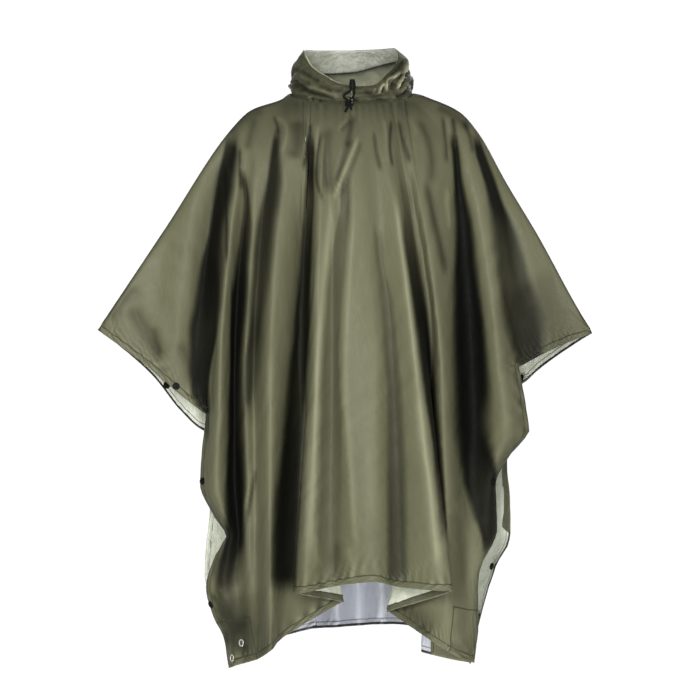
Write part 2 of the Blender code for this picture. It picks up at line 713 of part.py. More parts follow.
def make_eyelet(name, points, place, normal, material, collection):
    """Turned ring, its outer side first, so that the faces point out."""
    half = EYELET_HEIGHT / 2
    shoulder = half * EYELET_SHOULDER
    profile = ((EYELET_OUTER, shoulder), (EYELET_OUTER, -half), (EYELET_INNER, -half),
               (EYELET_INNER, shoulder), (mix(EYELET_INNER, EYELET_OUTER, 0.5), half))
    mesh = bpy.data.meshes.new(name)
    outline = [(radius * MM, 0.0, height * MM) for radius, height in profile]
    edges = [(index, (index + 1) % len(outline)) for index in range(len(outline))]
    mesh.from_pydata(outline, edges, [])
    thing = add_object(name, mesh, material, collection)
    turning = thing.modifiers.new("turning", "SCREW")
    turning.steps = EYELET_SIDES
    turning.render_steps = EYELET_SIDES
    turning.use_merge_vertices = True
    turning.merge_threshold = 0.00001
    lift = height_to_clear(points, place, normal, EYELET_OUTER)
    centre = place + normal * (lift + CLOTH_WALL + TRIM_GAP + half)
    thing.matrix_world = Matrix.Translation(centre * MM) @ facing(normal)


def make_cord(name, route, material, collection):
    points = [Vector(point) for point in route]
    curve = bpy.data.curves.new(name, "CURVE")
    curve.dimensions = "3D"
    curve.bevel_depth = CORD_RADIUS * MM
    curve.bevel_resolution = 2
    curve.use_fill_caps = True
    spline = curve.splines.new("POLY")
    spline.points.add(CORD_POINTS - 1)
    for index in range(CORD_POINTS):
        place = spline_point(points, index * (len(points) - 1) / (CORD_POINTS - 1))
        spline.points[index].co = (*(place * MM), 1.0)
    thing = bpy.data.objects.new(name, curve)
    collection.objects.link(thing)
    curve.materials.append(material)


def make_lock(material, collection):
    shell = bmesh.new()
    bmesh.ops.create_cone(shell, cap_ends=True, segments=LOCK_SIDES, radius1=LOCK_RADIUS * MM,
                          radius2=LOCK_RADIUS * MM, depth=LOCK_HEIGHT * MM)
    mesh = bpy.data.meshes.new("cord_lock")
    shell.to_mesh(mesh)
    shell.free()
    mesh.shade_smooth()
    mesh.set_sharp_from_angle(angle=math.radians(40))
    thing = add_object("cord_lock", mesh, material, collection)
    thing.location = Vector(LOCK_CENTRE) * MM
    rounding = thing.modifiers.new("rounding", "BEVEL")
    rounding.width = LOCK_ROUNDING * MM
    rounding.segments = 2
    rounding.limit_method = "ANGLE"


def add_oval(curve, half_width, half_depth):
    spline = curve.splines.new("POLY")
    spline.points.add(KNOT_SIDES - 1)
    for index in range(KNOT_SIDES):
        angle = 2 * math.pi * index / KNOT_SIDES
        cosine = math.copysign(abs(math.cos(angle)) ** KNOT_SQUARENESS, math.cos(angle))
        sine = math.copysign(abs(math.sin(angle)) ** KNOT_SQUARENESS, math.sin(angle))
        spline.points[index].co = (half_width * cosine * MM, half_depth * sine * MM, 0.0, 1.0)
    spline.use_cyclic_u = True


def make_knot(material, collection):
    """Band that holds the two ends of the string together."""
    curve = bpy.data.curves.new("cord_knot", "CURVE")
    curve.dimensions = "2D"
    curve.fill_mode = "BOTH"
    curve.extrude = KNOT_HEIGHT / 2 * MM
    add_oval(curve, KNOT_HALF_WIDTH, KNOT_HALF_DEPTH)
    add_oval(curve, KNOT_HOLE_HALF_WIDTH, KNOT_HOLE_HALF_DEPTH)
    thing = bpy.data.objects.new("cord_knot", curve)
    collection.objects.link(thing)
    curve.materials.append(material)
    thing.location = Vector(KNOT_CENTRE) * MM


# Which face of the cloth a stud stands on.
OUTER = 1
INNER = -1
# Press studs near the side edges: name, panel, x and z seen from the front, face of the cloth.
STUDS = (
    ("stud_front_left_1", "front", -336, -561, OUTER), ("stud_front_left_2", "front", -284, -752, OUTER),
    ("stud_front_left_3", "front", -268, -982, OUTER), ("stud_front_right_1", "front", 334, -512, INNER),
    ("stud_front_right_2", "front", 284, -750, OUTER), ("stud_front_right_3", "front", 246, -985, INNER),
    ("stud_back_left_1", "back", -356, -560, INNER), ("stud_back_left_2", "back", -268, -790, OUTER),
    ("stud_back_left_3", "back", -246, -990, OUTER), ("stud_back_right_1", "back", 343, -547, INNER),
    ("stud_back_right_2", "back", 300, -750, OUTER), ("stud_back_right_3", "back", 285, -911, INNER),
)
# Eyelets in the corners: name, panel, x and z seen from the front.
EYELETS = (
    ("eyelet_front_left", "front", -205, -1065), ("eyelet_front_left_low", "front", -226, -1090),
    ("eyelet_back_left", "back", -210, -1066), ("eyelet_back_right", "back", 226, -1084),
)


def main():
    clear_scene()
    parts = new_collection("rain_poncho")
    cloth = make_material("coated_cloth", (0.19, 0.195, 0.11), 0.42)
    black = make_material("black_plastic", (0.012, 0.014, 0.013), 0.4)
    black_cord = make_material("black_cord", (0.01, 0.012, 0.01), 0.8)
    steel = make_material("nickelled_steel", (0.62, 0.62, 0.58), 0.25, 1.0)
    grids = {"front": make_panel("front", FRONT, cloth, parts), "back": make_panel("back", BACK, cloth, parts)}
    left, right = make_hood(cloth, parts)
    make_tunnel(left, right, cloth, parts)
    for key, panel in (("front", FRONT), ("back", BACK)):
        make_patch(f"corner_patch_{key}_left", grids[key], panel.side, True, cloth, parts)
        make_patch(f"corner_patch_{key}_right", grids[key], panel.side, False, cloth, parts)
    for name, key, x, z, face in STUDS:
        place, normal = edge_place(grids[key], -1 if key == "front" else 1, x, z)
        make_stud(name, grids[key], place, normal, face, black, parts)
    for name, key, x, z in EYELETS:
        place, normal = edge_place(grids[key], -1 if key == "front" else 1, x, z)
        make_eyelet(name, grids[key], place, normal, steel, parts)
    make_lock(black, parts)
    make_cord("drawcord_left", CORD_LEFT_ROUTE, black_cord, parts)
    make_cord("drawcord_right", CORD_RIGHT_ROUTE, black_cord, parts)
    make_knot(black_cord, parts)


main()
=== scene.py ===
"""Rain poncho worn with both arms held out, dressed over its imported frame.

Lengths in the tables are millimetres, seen from the front: x to the viewer's right, y away from the
viewer, z up, from the middle of the neck's base.
"""
import math

import bmesh
import bpy
import numpy as np
from mathutils import Matrix, Vector, noise


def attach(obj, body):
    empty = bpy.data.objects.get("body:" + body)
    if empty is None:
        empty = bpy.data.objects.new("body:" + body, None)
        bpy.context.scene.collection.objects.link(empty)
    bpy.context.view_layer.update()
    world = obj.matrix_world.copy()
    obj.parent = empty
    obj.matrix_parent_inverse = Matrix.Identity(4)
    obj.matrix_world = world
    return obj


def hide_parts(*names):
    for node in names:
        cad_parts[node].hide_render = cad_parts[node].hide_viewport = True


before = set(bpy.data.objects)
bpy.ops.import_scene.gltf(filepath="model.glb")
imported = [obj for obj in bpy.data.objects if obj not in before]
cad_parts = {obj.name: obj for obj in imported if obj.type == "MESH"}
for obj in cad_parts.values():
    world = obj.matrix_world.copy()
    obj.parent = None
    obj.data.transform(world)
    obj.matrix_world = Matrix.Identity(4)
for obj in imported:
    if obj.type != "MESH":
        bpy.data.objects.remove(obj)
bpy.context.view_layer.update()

MM = 0.001
CLOTH_WALL = 0.9
SEAM_GAP = 0.03

VIEW_DISTANCE = 8000.0
VIEW_X = 4.0
VIEW_Z = -490.0
VIEW_WIDTH = 1372.0

NECK_CENTRE_X = 8.0
NECK_CENTRE_Y = 3.0
NECK_HALF_WIDTH = 119.0
NECK_HALF_DEPTH = 95.0
NECK_SIDE_Z = 12.0
NECK_FRONT_Z = -8.0
NECK_BACK_Z = 16.0

# Ridge over the shoulders and arms: x, z.
SHOULDER_LINE = (
    (-490, -451), (-358, -253), (-229, -59), (-188, -20), (-131, 0), (-111, 12), (127, 12), (167, 0),
    (218, -24), (255, -65), (310, -163), (374, -270), (439, -390), (478, -457),
)
WRIST_Y = -32.0

# Sleeve hems from the wrist in: x, y, z.
FRONT_SLEEVE_LEFT = ((-490, -32, -451), (-382, -44, -531), (-316, -54, -588), (-278, -60, -615))
FRONT_SLEEVE_RIGHT = ((335, -58, -523), (415, -44, -482), (478, -32, -457))
BACK_SLEEVE_LEFT = ((-490, -32, -451), (-382, -6, -540), (-368, 4, -566), (-282, 52, -648))
BACK_SLEEVE_RIGHT = ((341, 52, -556), (388, 12, -517), (457, -24, -470), (478, -32, -457))

# Side edges below the sleeves: z, x, y.
FRONT_EDGE_LEFT = (
    (-615, -278, -60), (-721, -288, -55), (-755, -289, -62), (-799, -271, -47), (-840, -245, -27),
    (-853, -237, -22), (-866, -244, -25), (-902, -263, -44), (-955, -278, -62), (-1010, -264, -54),
    (-1054, -243, -44), (-1113, -233, -58),
)
FRONT_EDGE_RIGHT = (
    (-523, 335, -58), (-640, 354, -71), (-651, 355, -72), (-662, 347, -65), (-706, 310, -38),
    (-755, 289, -23), (-841, 292, -26), (-939, 252, -42), (-1023, 255, -48), (-1103, 247, -56),
)
BACK_EDGE_LEFT = (
    (-648, -282, 52), (-800, -270, 45), (-882, -278, 32), (-931, -280, 30), (-1010, -250, 36),
    (-1085, -222, 44),
)
BACK_EDGE_RIGHT = (
    (-556, 341, 52), (-640, 330, 44), (-706, 311, 24), (-784, 317, 8), (-840, 318, 20), (-864, 316, 30),
    (-906, 293, 36), (-992, 265, 42), (-1105, 239, 44),
)

# Folds down each half: name, x at the top, half-way and at the hem, y half-way and at the hem, z of
# the hem.
FRONT_FOLDS = (
    ("side", -220, -266, -233, -66, -58, -1113),
    ("outer_ridge", -206, -252, -218, -116, -88, -1108),
    ("outer_valley", -194, -223, -204, -68, -100, -1104),
    ("small_ridge", -174, -201, -190, -102, -126, -1100),
    ("small_valley", -150, -184, -177, -86, -140, -1096),
    ("flap_ridge", -120, -152, -152, -150, -186, -1080),
    ("deep_valley", -86, -104, -126, -88, -112, -1052),
    ("flap_tip", -80, -97, -11, -83, -64, -984),
    ("flap_tip_turn", -72, -88, -9, -86, -77, -984),
    ("panel_turn", -64, -77, -106, -120, -152, -966),
    ("bright_ridge", -54, -62, -88, -166, -196, -966),
    ("panel_valley", -40, -31, -37, -148, -166, -955),
    ("thin_ridge", -8, -10, 20, -170, -196, -947),
    ("centre", 18, 47, 55, -172, -203, -945),
    ("centre_valley", 40, 82, 102, -153, -180, -955),
    ("broad_ridge", 62, 135, 180, -176, -213, -962),
    ("panel_turn_right", 75, 150, 204, -156, -190, -962),
    ("right_flap_tip_turn", 84, 158, 77, -112, -92, -1003),
    ("right_flap_tip", 92, 166, 79, -106, -79, -1003),
    ("right_flap_ridge", 112, 184, 198, -142, -136, -1082),
    ("right_deep_valley", 200, 241, 232, -66, -104, -1098),
    ("shoulder_ridge", 231, 296, 242, -104, -76, -1101),
    ("side_right", 255, 325, 247, -62, -56, -1103),
)
BACK_FOLDS = (
    ("side", -220, -262, -222, 60, 44, -1085),
    ("outer_ridge", -198, -232, -200, 98, 84, -1078),
    ("flap_ridge", -172, -190, -140, 100, 100, -1054),
    ("flap_tip", -152, -132, -62, 96, 104, -1034),
    ("flap_tip_turn", -146, -132, -64, 108, 120, -1034),
    ("panel_turn", -132, -182, -186, 126, 146, -1050),
    ("panel_ridge", -114, -170, -176, 152, 178, -1046),
    ("left_valley", -84, -108, -112, 118, 152, -1042),
    ("left_ridge", -54, -68, -68, 168, 214, -1036),
    ("middle_valley", -22, -24, -22, 118, 156, -1033),
    ("middle_ridge", 10, 18, 22, 172, 218, -1030),
    ("right_valley", 42, 58, 66, 116, 152, -1027),
    ("right_ridge", 76, 108, 120, 160, 206, -1030),
    ("pleat_inner", 96, 138, 178, 126, 166, -1046),
    ("pleat_back", 124, 186, 216, 146, 150, -1058),
    ("pleat_turn", 138, 192, 212, 128, 128, -1062),
    ("pleat_front_turn", 152, 160, 147, 106, 108, -1080),
    ("pleat_front", 162, 160, 145, 94, 94, -1082),
    ("corner_ridge", 192, 246, 206, 118, 80, -1097),
    ("curl", 228, 306, 240, 74, 58, -1103),
    ("side_right", 255, 330, 239, 56, 44, -1105),
)

# Columns from the shoulder line to a sleeve hem: x on the line, x on the hem, sink between them.
FRONT_WING_LEFT = ((-490, -490, 0), (-430, -440, 0), (-360, -386, 2), (-298, -342, -2), (-250, -312, 20))
FRONT_WING_RIGHT = ((296, 362, 4), (342, 392, 0), (398, 430, 2), (440, 456, 0), (478, 478, 0))
BACK_WING_LEFT = ((-490, -490, 0), (-425, -440, 0), (-345, -380, -6), (-275, -330, 4))
BACK_WING_RIGHT = ((300, 372, 4), (360, 405, -6), (425, 445, 0), (478, 478, 0))

# How the cloth falls from the shoulder line: over this length it reaches the depth of its fold.
FALL_LENGTH = 62.0
CHEST_HALF_DEPTH = 84.0
CHEST_SWELL = 46.0
CHEST_SWELL_REACH = 120.0
SLEEVE_TURN_LENGTH = 40.0
SLEEVE_SINK_SKEW = 0.7
EDGE_LEAN = 0.62
# Share of a side edge's wave that it and the folds next to it take.
EDGE_WAVE_SHARES = (1.0, 0.5, 0.12)

# Grid of a half. Rows run from 0 on the ridge over 1 where the sleeve ends to 2 at the hem: first, last,
# how many.
TOP_FIT_ROWS = 0.35
ROW_EASE = 1.3
COLUMN_PITCH = 4.7
LEAST_COLUMNS = 3
RIDGE_ROWS = 6
NECK_ROWS = (0.05, 0.34, 26)
UPPER_ROWS = (0.355, 0.975, 34)
SLEEVE_HEM_ROWS = (0.985, 0.993)
LOWER_ROWS = (1.0, 1.968, 41)
HEM_ROWS = (1.976, 1.984, 1.992, 2.0)

# The round over the shoulders and arms, and the evening out beside the neck.
RIDGE_RADIUS = 9.0
RIDGE_FADE = 24.0
RIDGE_START = 40.0
RIDGE_ROOM = 60.0
NECK_EASE_PASSES = 60
NECK_EASE_REACH = 34.0
NECK_EASE_TOP = 10.0
NECK_EASE_END = 260.0
NECK_EASE_FADE = 120.0

# Long folds begin softly below the ridge. Their sides are steep where crispness nears 1.
FOLD_HOLD = 22.0
BAND_FADE = 30.0
BAND_SAMPLES = 80
BAND_CRISPNESS = 0.12
BAND_SHOULDER = 1.15
BAND_POWER = 4
CREASE_STEPS = 6
CREASE_REACH = 3
CREASE_TAPER = 0.18
CREASE_SPREAD = 1.25
CREASE_POWER = 1.7

# Hems are turned in and sewn this far from the edge. The back's right edge is turned back, from its sleeve
# down to TURN_BACK_END.
HEM_WIDTH = 13.0
FRONT_TURNING_EXTRA = 1.3
NARROW_TURNING = 5.0
TURN_BACK_WIDTH = 32.0
TURN_BACK_END = -848.0
# Puckers along the hems, with painted shade in their troughs and a painted highlight on their crests.
PUCKER_RUN = 4000.0
PUCKER_PITCH = 19.0
PUCKER_HEIGHT = 1.8
PUCKER_REACH = 18.0
PUCKER_AT_EDGE = 0.35
PUCKER_PAINTED_SHADING = 0.22

# Gathers below the neck's seam: full in its middle, gone at its ends, with painted shade in their troughs
# and a painted highlight on their crests.
GATHER_RUN = 800.0
GATHER_PITCH = 14.0
GATHER_HEIGHT = 1.2
GATHER_REACH = 26.0
GATHER_START = 5.0
GATHER_FULL = 1.3
GATHER_LOSS = 1.1
GATHER_PAINTED_SHADING = 0.12

# Ripples all over: their sizes along and down the cloth, and where they are calmer. Painted shade and
# highlight follow their troughs and crests.
RIPPLE_HEIGHT = 1.3
RIPPLE_SIZE = (26.0, 95.0)
FINE_RIPPLE_SIZE = (11.0, 34.0)
FINE_RIPPLE_SHARE = 0.5
RIPPLE_CALM_EDGE = 60.0
RIPPLE_CALM_LEAST = 0.2
RIPPLE_CALM_TOP = 40.0
RIPPLE_PAINTED_SHADING = 0.03
# How a wave along a seam wanders: drift in pitch and its length, height and its length.
WAVE_DRIFT = (0.9, 3.1)
WAVE_HEIGHT = (0.65, 1.1, 2.3)
WAVE_LIMITS = (0.1, 1.2)

# Painted shade under the hood, on the ridge and in hollows; less painted shade near the side edges and on
# the back.
NECK_SHADE = 0.34
NECK_SHADE_REACH = 55.0
RIDGE_SHADE = 0.32
RIDGE_SHADE_REACH = 7.0
RIDGE_SHADE_START = 12.0
HOLLOW_SHADE = 0.06
SHADE_WINDOW = 11
SHADE_START = 8.0
SHADE_DEPTH = 45.0
SHADE_FADE = 120.0
SIDE_SHADE_LOSS = 0.5
SIDE_SHADE_REACH = 34.0
SIDE_SHADE_ROW = 0.9
BACK_SHADE = 0.72
SHADE_LIMITS = (-0.4, 0.97)

PATCH_WIDTH = 105.0
PATCH_FIRST_ROW = 2 - 2 / 11
PATCH_GAP = 0.5
PATCH_WALL = 0.8
PATCH_SEAM = 3.0
# Distance that stands for nowhere near.
FAR = 1000.0
# Values at the cloth's points that are shares, not lengths.
SHARES = ("shade", "inside")

HOOD_BASE_INSET = 1.6
HOOD_BASE_LIFT = 3.6
SEAM_TUCK = 8.0
THROAT_GAP = 2.0
BRIM_CENTRE_X = 6.0
BRIM_HALF_WIDTH = 92.0
BRIM_FRONT_DEPTH = 88.0
BRIM_BACK_DEPTH = 104.0
# Brim round the neck: degrees from the middle of the front, to the viewer's right above nought, and z.
BRIM_LINE = (
    (-180, 96), (-140, 96), (-90, 98), (-49, 61), (-34, 49), (-17, 35), (-4, 29), (9, 26), (29, 29),
    (50, 51), (73, 71), (90, 86), (115, 101), (140, 99), (180, 96),
)
# How the hood leaves its base and comes to its brim: out and up at the base, out and up at the brim.
HOOD_SIDE = (16.0, 18.0, 14.0, -36.0)
HOOD_FRONT = (17.0, 8.0, 17.0, -10.0)
HOOD_BEHIND = (88.0, 6.0, 104.0, -66.0)
HOOD_FRONT_POWER = 1.5
HOOD_BEHIND_POWER = 1.4
HOOD_HANGING_POWER = 2.6
POUCH_DROP = 92.0
POUCH_SKEW = 0.92
SCRUNCH_DEPTH = 5.0
SCRUNCH_FOLDS = 2.3
SCRUNCH_DRIFT = 0.4
SCRUNCH_SWAY = 1.2
SCRUNCH_IN_FRONT = 0.35
# How far the hood stands out at its left and right sides: rise, out.
HOOD_FLANK_LEFT = (
    (0.0, 0), (0.1, -1), (0.22, -2), (0.32, -11), (0.42, -10), (0.52, -6), (0.65, 1), (0.75, 3),
    (0.85, 3), (1.0, 0),
)
HOOD_FLANK_RIGHT = (
    (0.0, 0), (0.1, -7), (0.22, -13), (0.4, -9), (0.5, -3), (0.6, -3.5), (0.68, -5), (0.75, 1),
    (0.84, 11), (0.92, 6.5), (1.0, 0),
)
FLANK_POWER = 3
HOOD_GATHER_DEPTH = 2.2
HOOD_GATHER_COUNT = 13
HOOD_GATHER_DRIFT = 2.0
HOOD_COLUMNS = 240
HOOD_ROWS = 64
# Ridged crinkles of scrunched cloth: size, height, seed. They are calmer where the hood faces back.
HOOD_CRINKLE = (17.0, 1.6, 3.0)
# Crinkles get painted shade in their hollows and a painted highlight on their crests.
HOOD_CRINKLE_PAINTED_SHADING = 0.06
HOOD_CALM = 0.35
# Share of the rise over which the hood's folds begin at its base and end at its brim.
HOOD_HOLD_BASE = 0.08
HOOD_HOLD_BRIM = 0.05
# Painted shade over the hood's outer face, more where it faces front than behind, and the limits of its
# painted shade and highlight.
HOOD_SHADE = 0.3
HOOD_SHADE_BEHIND = 0.16
HOOD_SHADE_LIMITS = (-0.9, 0.9)
# Width of the painted highlight along the brim's edge at the left front.
BRIM_PAINTED_HIGHLIGHT = 2.5
# Painted shadow on the inner face, below the strip and at the right, which darkens in two steps of the
# cosine.
STRIP_SHADOW = 0.55
STRIP_SHADOW_REACH = 5.0
HOOD_RIGHT_SHADOW = 0.24
HOOD_RIGHT_STEPS = ((0.3, 0.6), (0.7, 0.9))

# Strip that holds the drawstring. It widens from front to back and is drawn up at its right.
STRIP_WIDTH_FRONT = 13.0
STRIP_WIDTH_BEHIND = 58.0
STRIP_WIDENING = (-0.75, 0.25)
STRIP_LIFT = 0.3
STRIP_LIFT_ACROSS = (0.05, 0.6)
STRIP_LIFT_ALONG = (0.0, 0.4)
STRIP_SWAY = 0.04
STRIP_SWAYS = 7
STRIP_SAMPLES = 150
STRIP_START = 0.4
TUNNEL_ROWS = 18
TUNNEL_GAP = 1.0
TUNNEL_THROAT = 5.0
TUNNEL_CRINKLE = (9.0, 1.1, 8.0)
TUNNEL_PUFF = (0.9, 2.4)
TUNNEL_PUFF_START = 0.15
TUNNEL_SEAM = 1.5
# Painted shadow on the strip: at its lower edge, to its right and in its crinkles, less a little painted
# light all over.
TUNNEL_SHADOW = 0.7
TUNNEL_SHADOW_REACH = 2.0
TUNNEL_RIGHT_SHADOW = 0.16
TUNNEL_RIGHT_STEP = (-0.7, 0.5)
TUNNEL_CRINKLE_SHADOW = 0.05
TUNNEL_LIGHTEN = 0.03

STUD_RADIUS = 7.0
EYELET_INNER = 4.6
EYELET_OUTER = 7.6
TRIM_GAP = 0.3
# Steps of a stud's cap: how far in, then how far up.
STUD_STEPS = ((0.7, 1.0), (1.1, 0.6), (1.6, -0.7), (1.2, 0.25))
STUD_SKIRT = 1.4
EYELET_SQUASH = 0.72
EYELET_HOLE_EXTRA = 0.6

# The studio is in metres. Lights: name, place, what it looks at, size, power.
STUDIO_RADIUS = 30.0
STUDIO_FLOOR_RADIUS = 6.0
STUDIO_FLOOR_Z = -1.78
FLOOR_GLOW = 0.93
DOME_GLOW = 1.05
WORLD_GLOW = 0.28
LIGHTS = (
    ("key", (-0.9, -4.5, 0.5), (0.0, 0.0, -0.5), (1.4, 1.4), 131),
    ("low", (0.2, -4.5, -1.5), (0.0, 0.0, -0.8), (1.6, 0.8), 55),
    ("fill", (3.0, -3.5, 0.2), (0.0, 0.0, -0.5), (1.5, 2.0), 30),
    ("from_floor", (0.03, -0.15, -1.7), (0.03, 0.0, -1.0), (0.9, 0.35), 6),
    ("behind", (0.3, 4.8, 0.5), (0.0, 0.0, -0.5), (3.6, 2.8), 110),
)

CORD_RADIUS = 2.0
CORD_SIDES = 14
# Sideways direction of a cord's rings, and the one for a cord that runs along it.
CORD_SIDE = (0.0, 1.0, 0.0)
CORD_OTHER_SIDE = (1.0, 0.0, 0.0)
CORD_END_RADIUS = 0.55
CORD_END_LENGTH = 1.6
CORD_RINGS = 110
BRAID_STRANDS = 8
BRAID_PITCH = 9.0
BRAID_DEPTH = 0.22
# Routes of the two free ends of the drawstring, from the lock down: x, y, z.
CORD_LEFT_ROUTE = (
    (5.6, -105.6, 15.1), (5.4, -105.8, 12.6), (0.0, -107.2, 8.0), (-7.5, -107.8, 3.6),
    (-8.0, -107.2, -1.2), (-2.6, -106.2, -5.4), (-1.0, -106.0, -8.6), (-1.0, -106.0, -13.0),
    (-1.0, -106.2, -18.0), (-3.2, -107.2, -24.0), (-6.0, -109.0, -30.0),
)
CORD_RIGHT_ROUTE = (
    (11.4, -105.6, 15.1), (11.5, -105.8, 12.6), (12.0, -107.4, 6.0), (9.4, -107.4, -0.5),
    (5.0, -106.2, -5.2), (4.0, -106.0, -8.6), (4.0, -106.0, -13.0), (4.0, -106.2, -18.0),
    (6.6, -107.6, -25.0),
)
LOCK_CENTRE = (8.5, -105.6, 25.0)
LOCK_RADIUS = 6.2
LOCK_HEIGHT = 19.0
LOCK_BARREL_SHARE = 0.62
# Steps of the lock's button: how far in, how far up, how much wider then. Then its foot and ribs.
LOCK_STEPS = ((0.9, -1.0, 1.0), (0.5, 4.6, 1.0), (0.0, 1.4, 1.12), (0.0, 1.4, 0.8))
LOCK_FOOT = (1.6, 1.2)
LOCK_RIB_AREA = 0.000009
# Each strand from the tunnel's mouth over the brim into the lock's back: x from the lock's middle, y, z.
LOCK_STRAND = (
    (5.2, -80.5, 19.0), (4.4, -80.8, 25.0), (3.6, -83.6, 29.6), (3.1, -88.6, 30.6), (2.9, -94.0, 28.8),
    (2.9, -100.0, 26.0),
)
KNOT_CENTRE = (1.5, -106.0, -13.0)
KNOT_HALF_WIDTH = 6.8
KNOT_HALF_DEPTH = 3.9
KNOT_WRAP_RADIUS = 1.45
KNOT_WRAP_STEP = 2.9
KNOT_TILTS = (7.0, -4.0, 9.0)

# Which face of the cloth a stud stands on.
OUTER_FACE = 1
INNER_FACE = -1
# Press studs near the side edges: name, half, x and z seen from the front, face of the cloth.
STUDS = (
    ("stud_front_left_1", "front", -336, -561, OUTER_FACE),
    ("stud_front_left_2", "front", -284, -752, OUTER_FACE),
    ("stud_front_left_3", "front", -268, -982, OUTER_FACE),
    ("stud_front_right_1", "front", 334, -512, INNER_FACE),
    ("stud_front_right_2", "front", 284, -750, OUTER_FACE),
    ("stud_front_right_3", "front", 246, -985, INNER_FACE),
    ("stud_back_left_1", "back", -356, -560, INNER_FACE),
    ("stud_back_left_2", "back", -268, -790, OUTER_FACE),
    ("stud_back_left_3", "back", -246, -990, OUTER_FACE),
    ("stud_back_right_1", "back", 343, -547, INNER_FACE),
    ("stud_back_right_2", "back", 300, -750, OUTER_FACE),
    ("stud_back_right_3", "back", 285, -911, INNER_FACE),
)
EYELETS = (
    ("eyelet_front_left", "front", -205, -1065), ("eyelet_front_left_low", "front", -226, -1090),
    ("eyelet_back_left", "back", -210, -1066), ("eyelet_back_right", "back", 226, -1084),
)

# Long hanging folds of the front: name, depth, then from the top down z, the x where the fold leaves the
# lit cloth on the left, where it is darkest from and to, where it is lit again, and its darkness.
# Their darkness is painted shade in the cloth's colour; the depth sinks the cloth itself.
FRONT_BANDS = (
    ("arm", 11, (
        (-60, -240, -232, -222, -204, 0.3), (-98, -247, -239, -223, -212, 0.58),
        (-157, -267, -251, -233, -212, 0.71), (-255, -276, -269, -255, -231, 0.76),
        (-333, -298, -282, -261, -233, 0.82), (-392, -310, -288, -261, -237, 0.78),
        (-451, -321, -302, -261, -251, 0.68), (-568, -318, -298, -276, -269, 0.78),
        (-627, -284, -278, -274, -267, 0.68), (-680, -284, -280, -278, -270, 0.4),)),
    ("outer", 12, (
        (-130, -216, -211, -208, -202, 0.35), (-196, -206, -200, -196, -188, 0.50),
        (-255, -214, -206, -200, -180, 0.64), (-333, -231, -214, -206, -186, 0.78),
        (-392, -235, -225, -210, -184, 0.86), (-510, -235, -229, -220, -198, 0.90),
        (-627, -241, -229, -225, -188, 0.88), (-745, -245, -233, -214, -188, 0.90),
        (-804, -251, -231, -210, -198, 0.88), (-862, -243, -237, -210, -196, 0.82),
        (-911, -263, -247, -235, -192, 0.74), (-980, -272, -258, -244, -214, 0.4),)),
    ("small", 6, (
        (-50, -146, -140, -136, -128, 0.4), (-98, -157, -145, -141, -127, 0.62),
        (-157, -165, -153, -143, -120, 0.62), (-255, -188, -172, -157, -129, 0.56),
        (-392, -196, -184, -169, -149, 0.46), (-451, -200, -188, -178, -157, 0.54),
        (-510, -204, -200, -186, -157, 0.42), (-568, -208, -200, -192, -172, 0.38),
        (-620, -210, -204, -198, -184, 0.2),)),
    ("deep", 15, (
        (-64, -82, -76, -72, -64, 0.4), (-98, -84, -76, -71, -61, 0.55), (-142, -85, -75, -71, -64, 0.68),
        (-196, -92, -76, -69, -63, 0.45), (-255, -96, -84, -71, -65, 0.60),
        (-333, -102, -90, -76, -67, 0.74), (-451, -112, -100, -80, -69, 0.70),
        (-568, -128, -110, -88, -76, 0.66), (-686, -140, -121, -96, -82, 0.72),
        (-804, -159, -133, -102, -88, 0.72), (-911, -165, -137, -108, -94, 0.74),
        (-965, -161, -139, -110, -94, 0.68),)),
    ("panel", 5, (
        (-140, -14, -10, 2, 5, 0.16), (-196, -16, -12, 2, 6, 0.24), (-274, -29, -25, -6, 4, 0.2),
        (-392, -47, -37, -14, -6, 0.17), (-510, -55, -45, -20, -14, 0.15),
        (-627, -59, -49, -14, -8, 0.15), (-745, -61, -51, -16, -8, 0.13), (-862, -63, -57, -25, -4, 0.12),
        (-930, -69, -59, -6, 4, 0.12),)),
    ("centre", 5, (
        (-240, 46, 52, 56, 64, 0.08), (-333, 55, 63, 69, 75, 0.14), (-392, 57, 73, 80, 94, 0.23),
        (-510, 65, 78, 92, 106, 0.28), (-568, 69, 84, 94, 114, 0.35), (-686, 69, 84, 102, 120, 0.34),
        (-804, 69, 84, 104, 124, 0.41), (-960, 70, 84, 106, 126, 0.4),)),
    ("panel_right", 9, (
        (-150, 98, 106, 114, 122, 0.05), (-196, 104, 112, 120, 127, 0.12),
        (-255, 104, 112, 124, 135, 0.36), (-333, 114, 122, 133, 151, 0.60),
        (-451, 127, 141, 151, 171, 0.78), (-568, 143, 155, 163, 182, 0.74),
        (-686, 163, 171, 174, 192, 0.70), (-745, 165, 180, 182, 194, 0.62),
        (-804, 172, 186, 188, 194, 0.46), (-862, 180, 190, 192, 197, 0.2),)),
    ("deep_right", 16, (
        (-62, 184, 206, 210, 216, 0.5), (-98, 200, 208, 214, 221, 0.74), (-157, 204, 212, 218, 231, 0.86),
        (-255, 204, 218, 235, 255, 0.84), (-333, 200, 218, 241, 265, 0.88),
        (-451, 194, 221, 259, 278, 0.90), (-568, 196, 225, 263, 292, 0.88),
        (-627, 192, 229, 247, 298, 0.89), (-745, 216, 235, 290, 295, 0.74),
        (-804, 231, 255, 290, 295, 0.72), (-862, 259, 267, 290, 296, 0.72),
        (-900, 262, 272, 284, 292, 0.6),)),
    ("shoulder_right", 7, (
        (-62, 241, 247, 251, 256, 0.5), (-98, 245, 253, 261, 270, 0.74), (-157, 261, 271, 282, 294, 0.76),
        (-196, 267, 282, 294, 308, 0.78), (-255, 269, 298, 318, 337, 0.56),
        (-353, 286, 302, 345, 368, 0.42), (-431, 294, 320, 361, 400, 0.52),
        (-500, 314, 337, 372, 392, 0.60), (-545, 330, 346, 366, 380, 0.4),)),
)
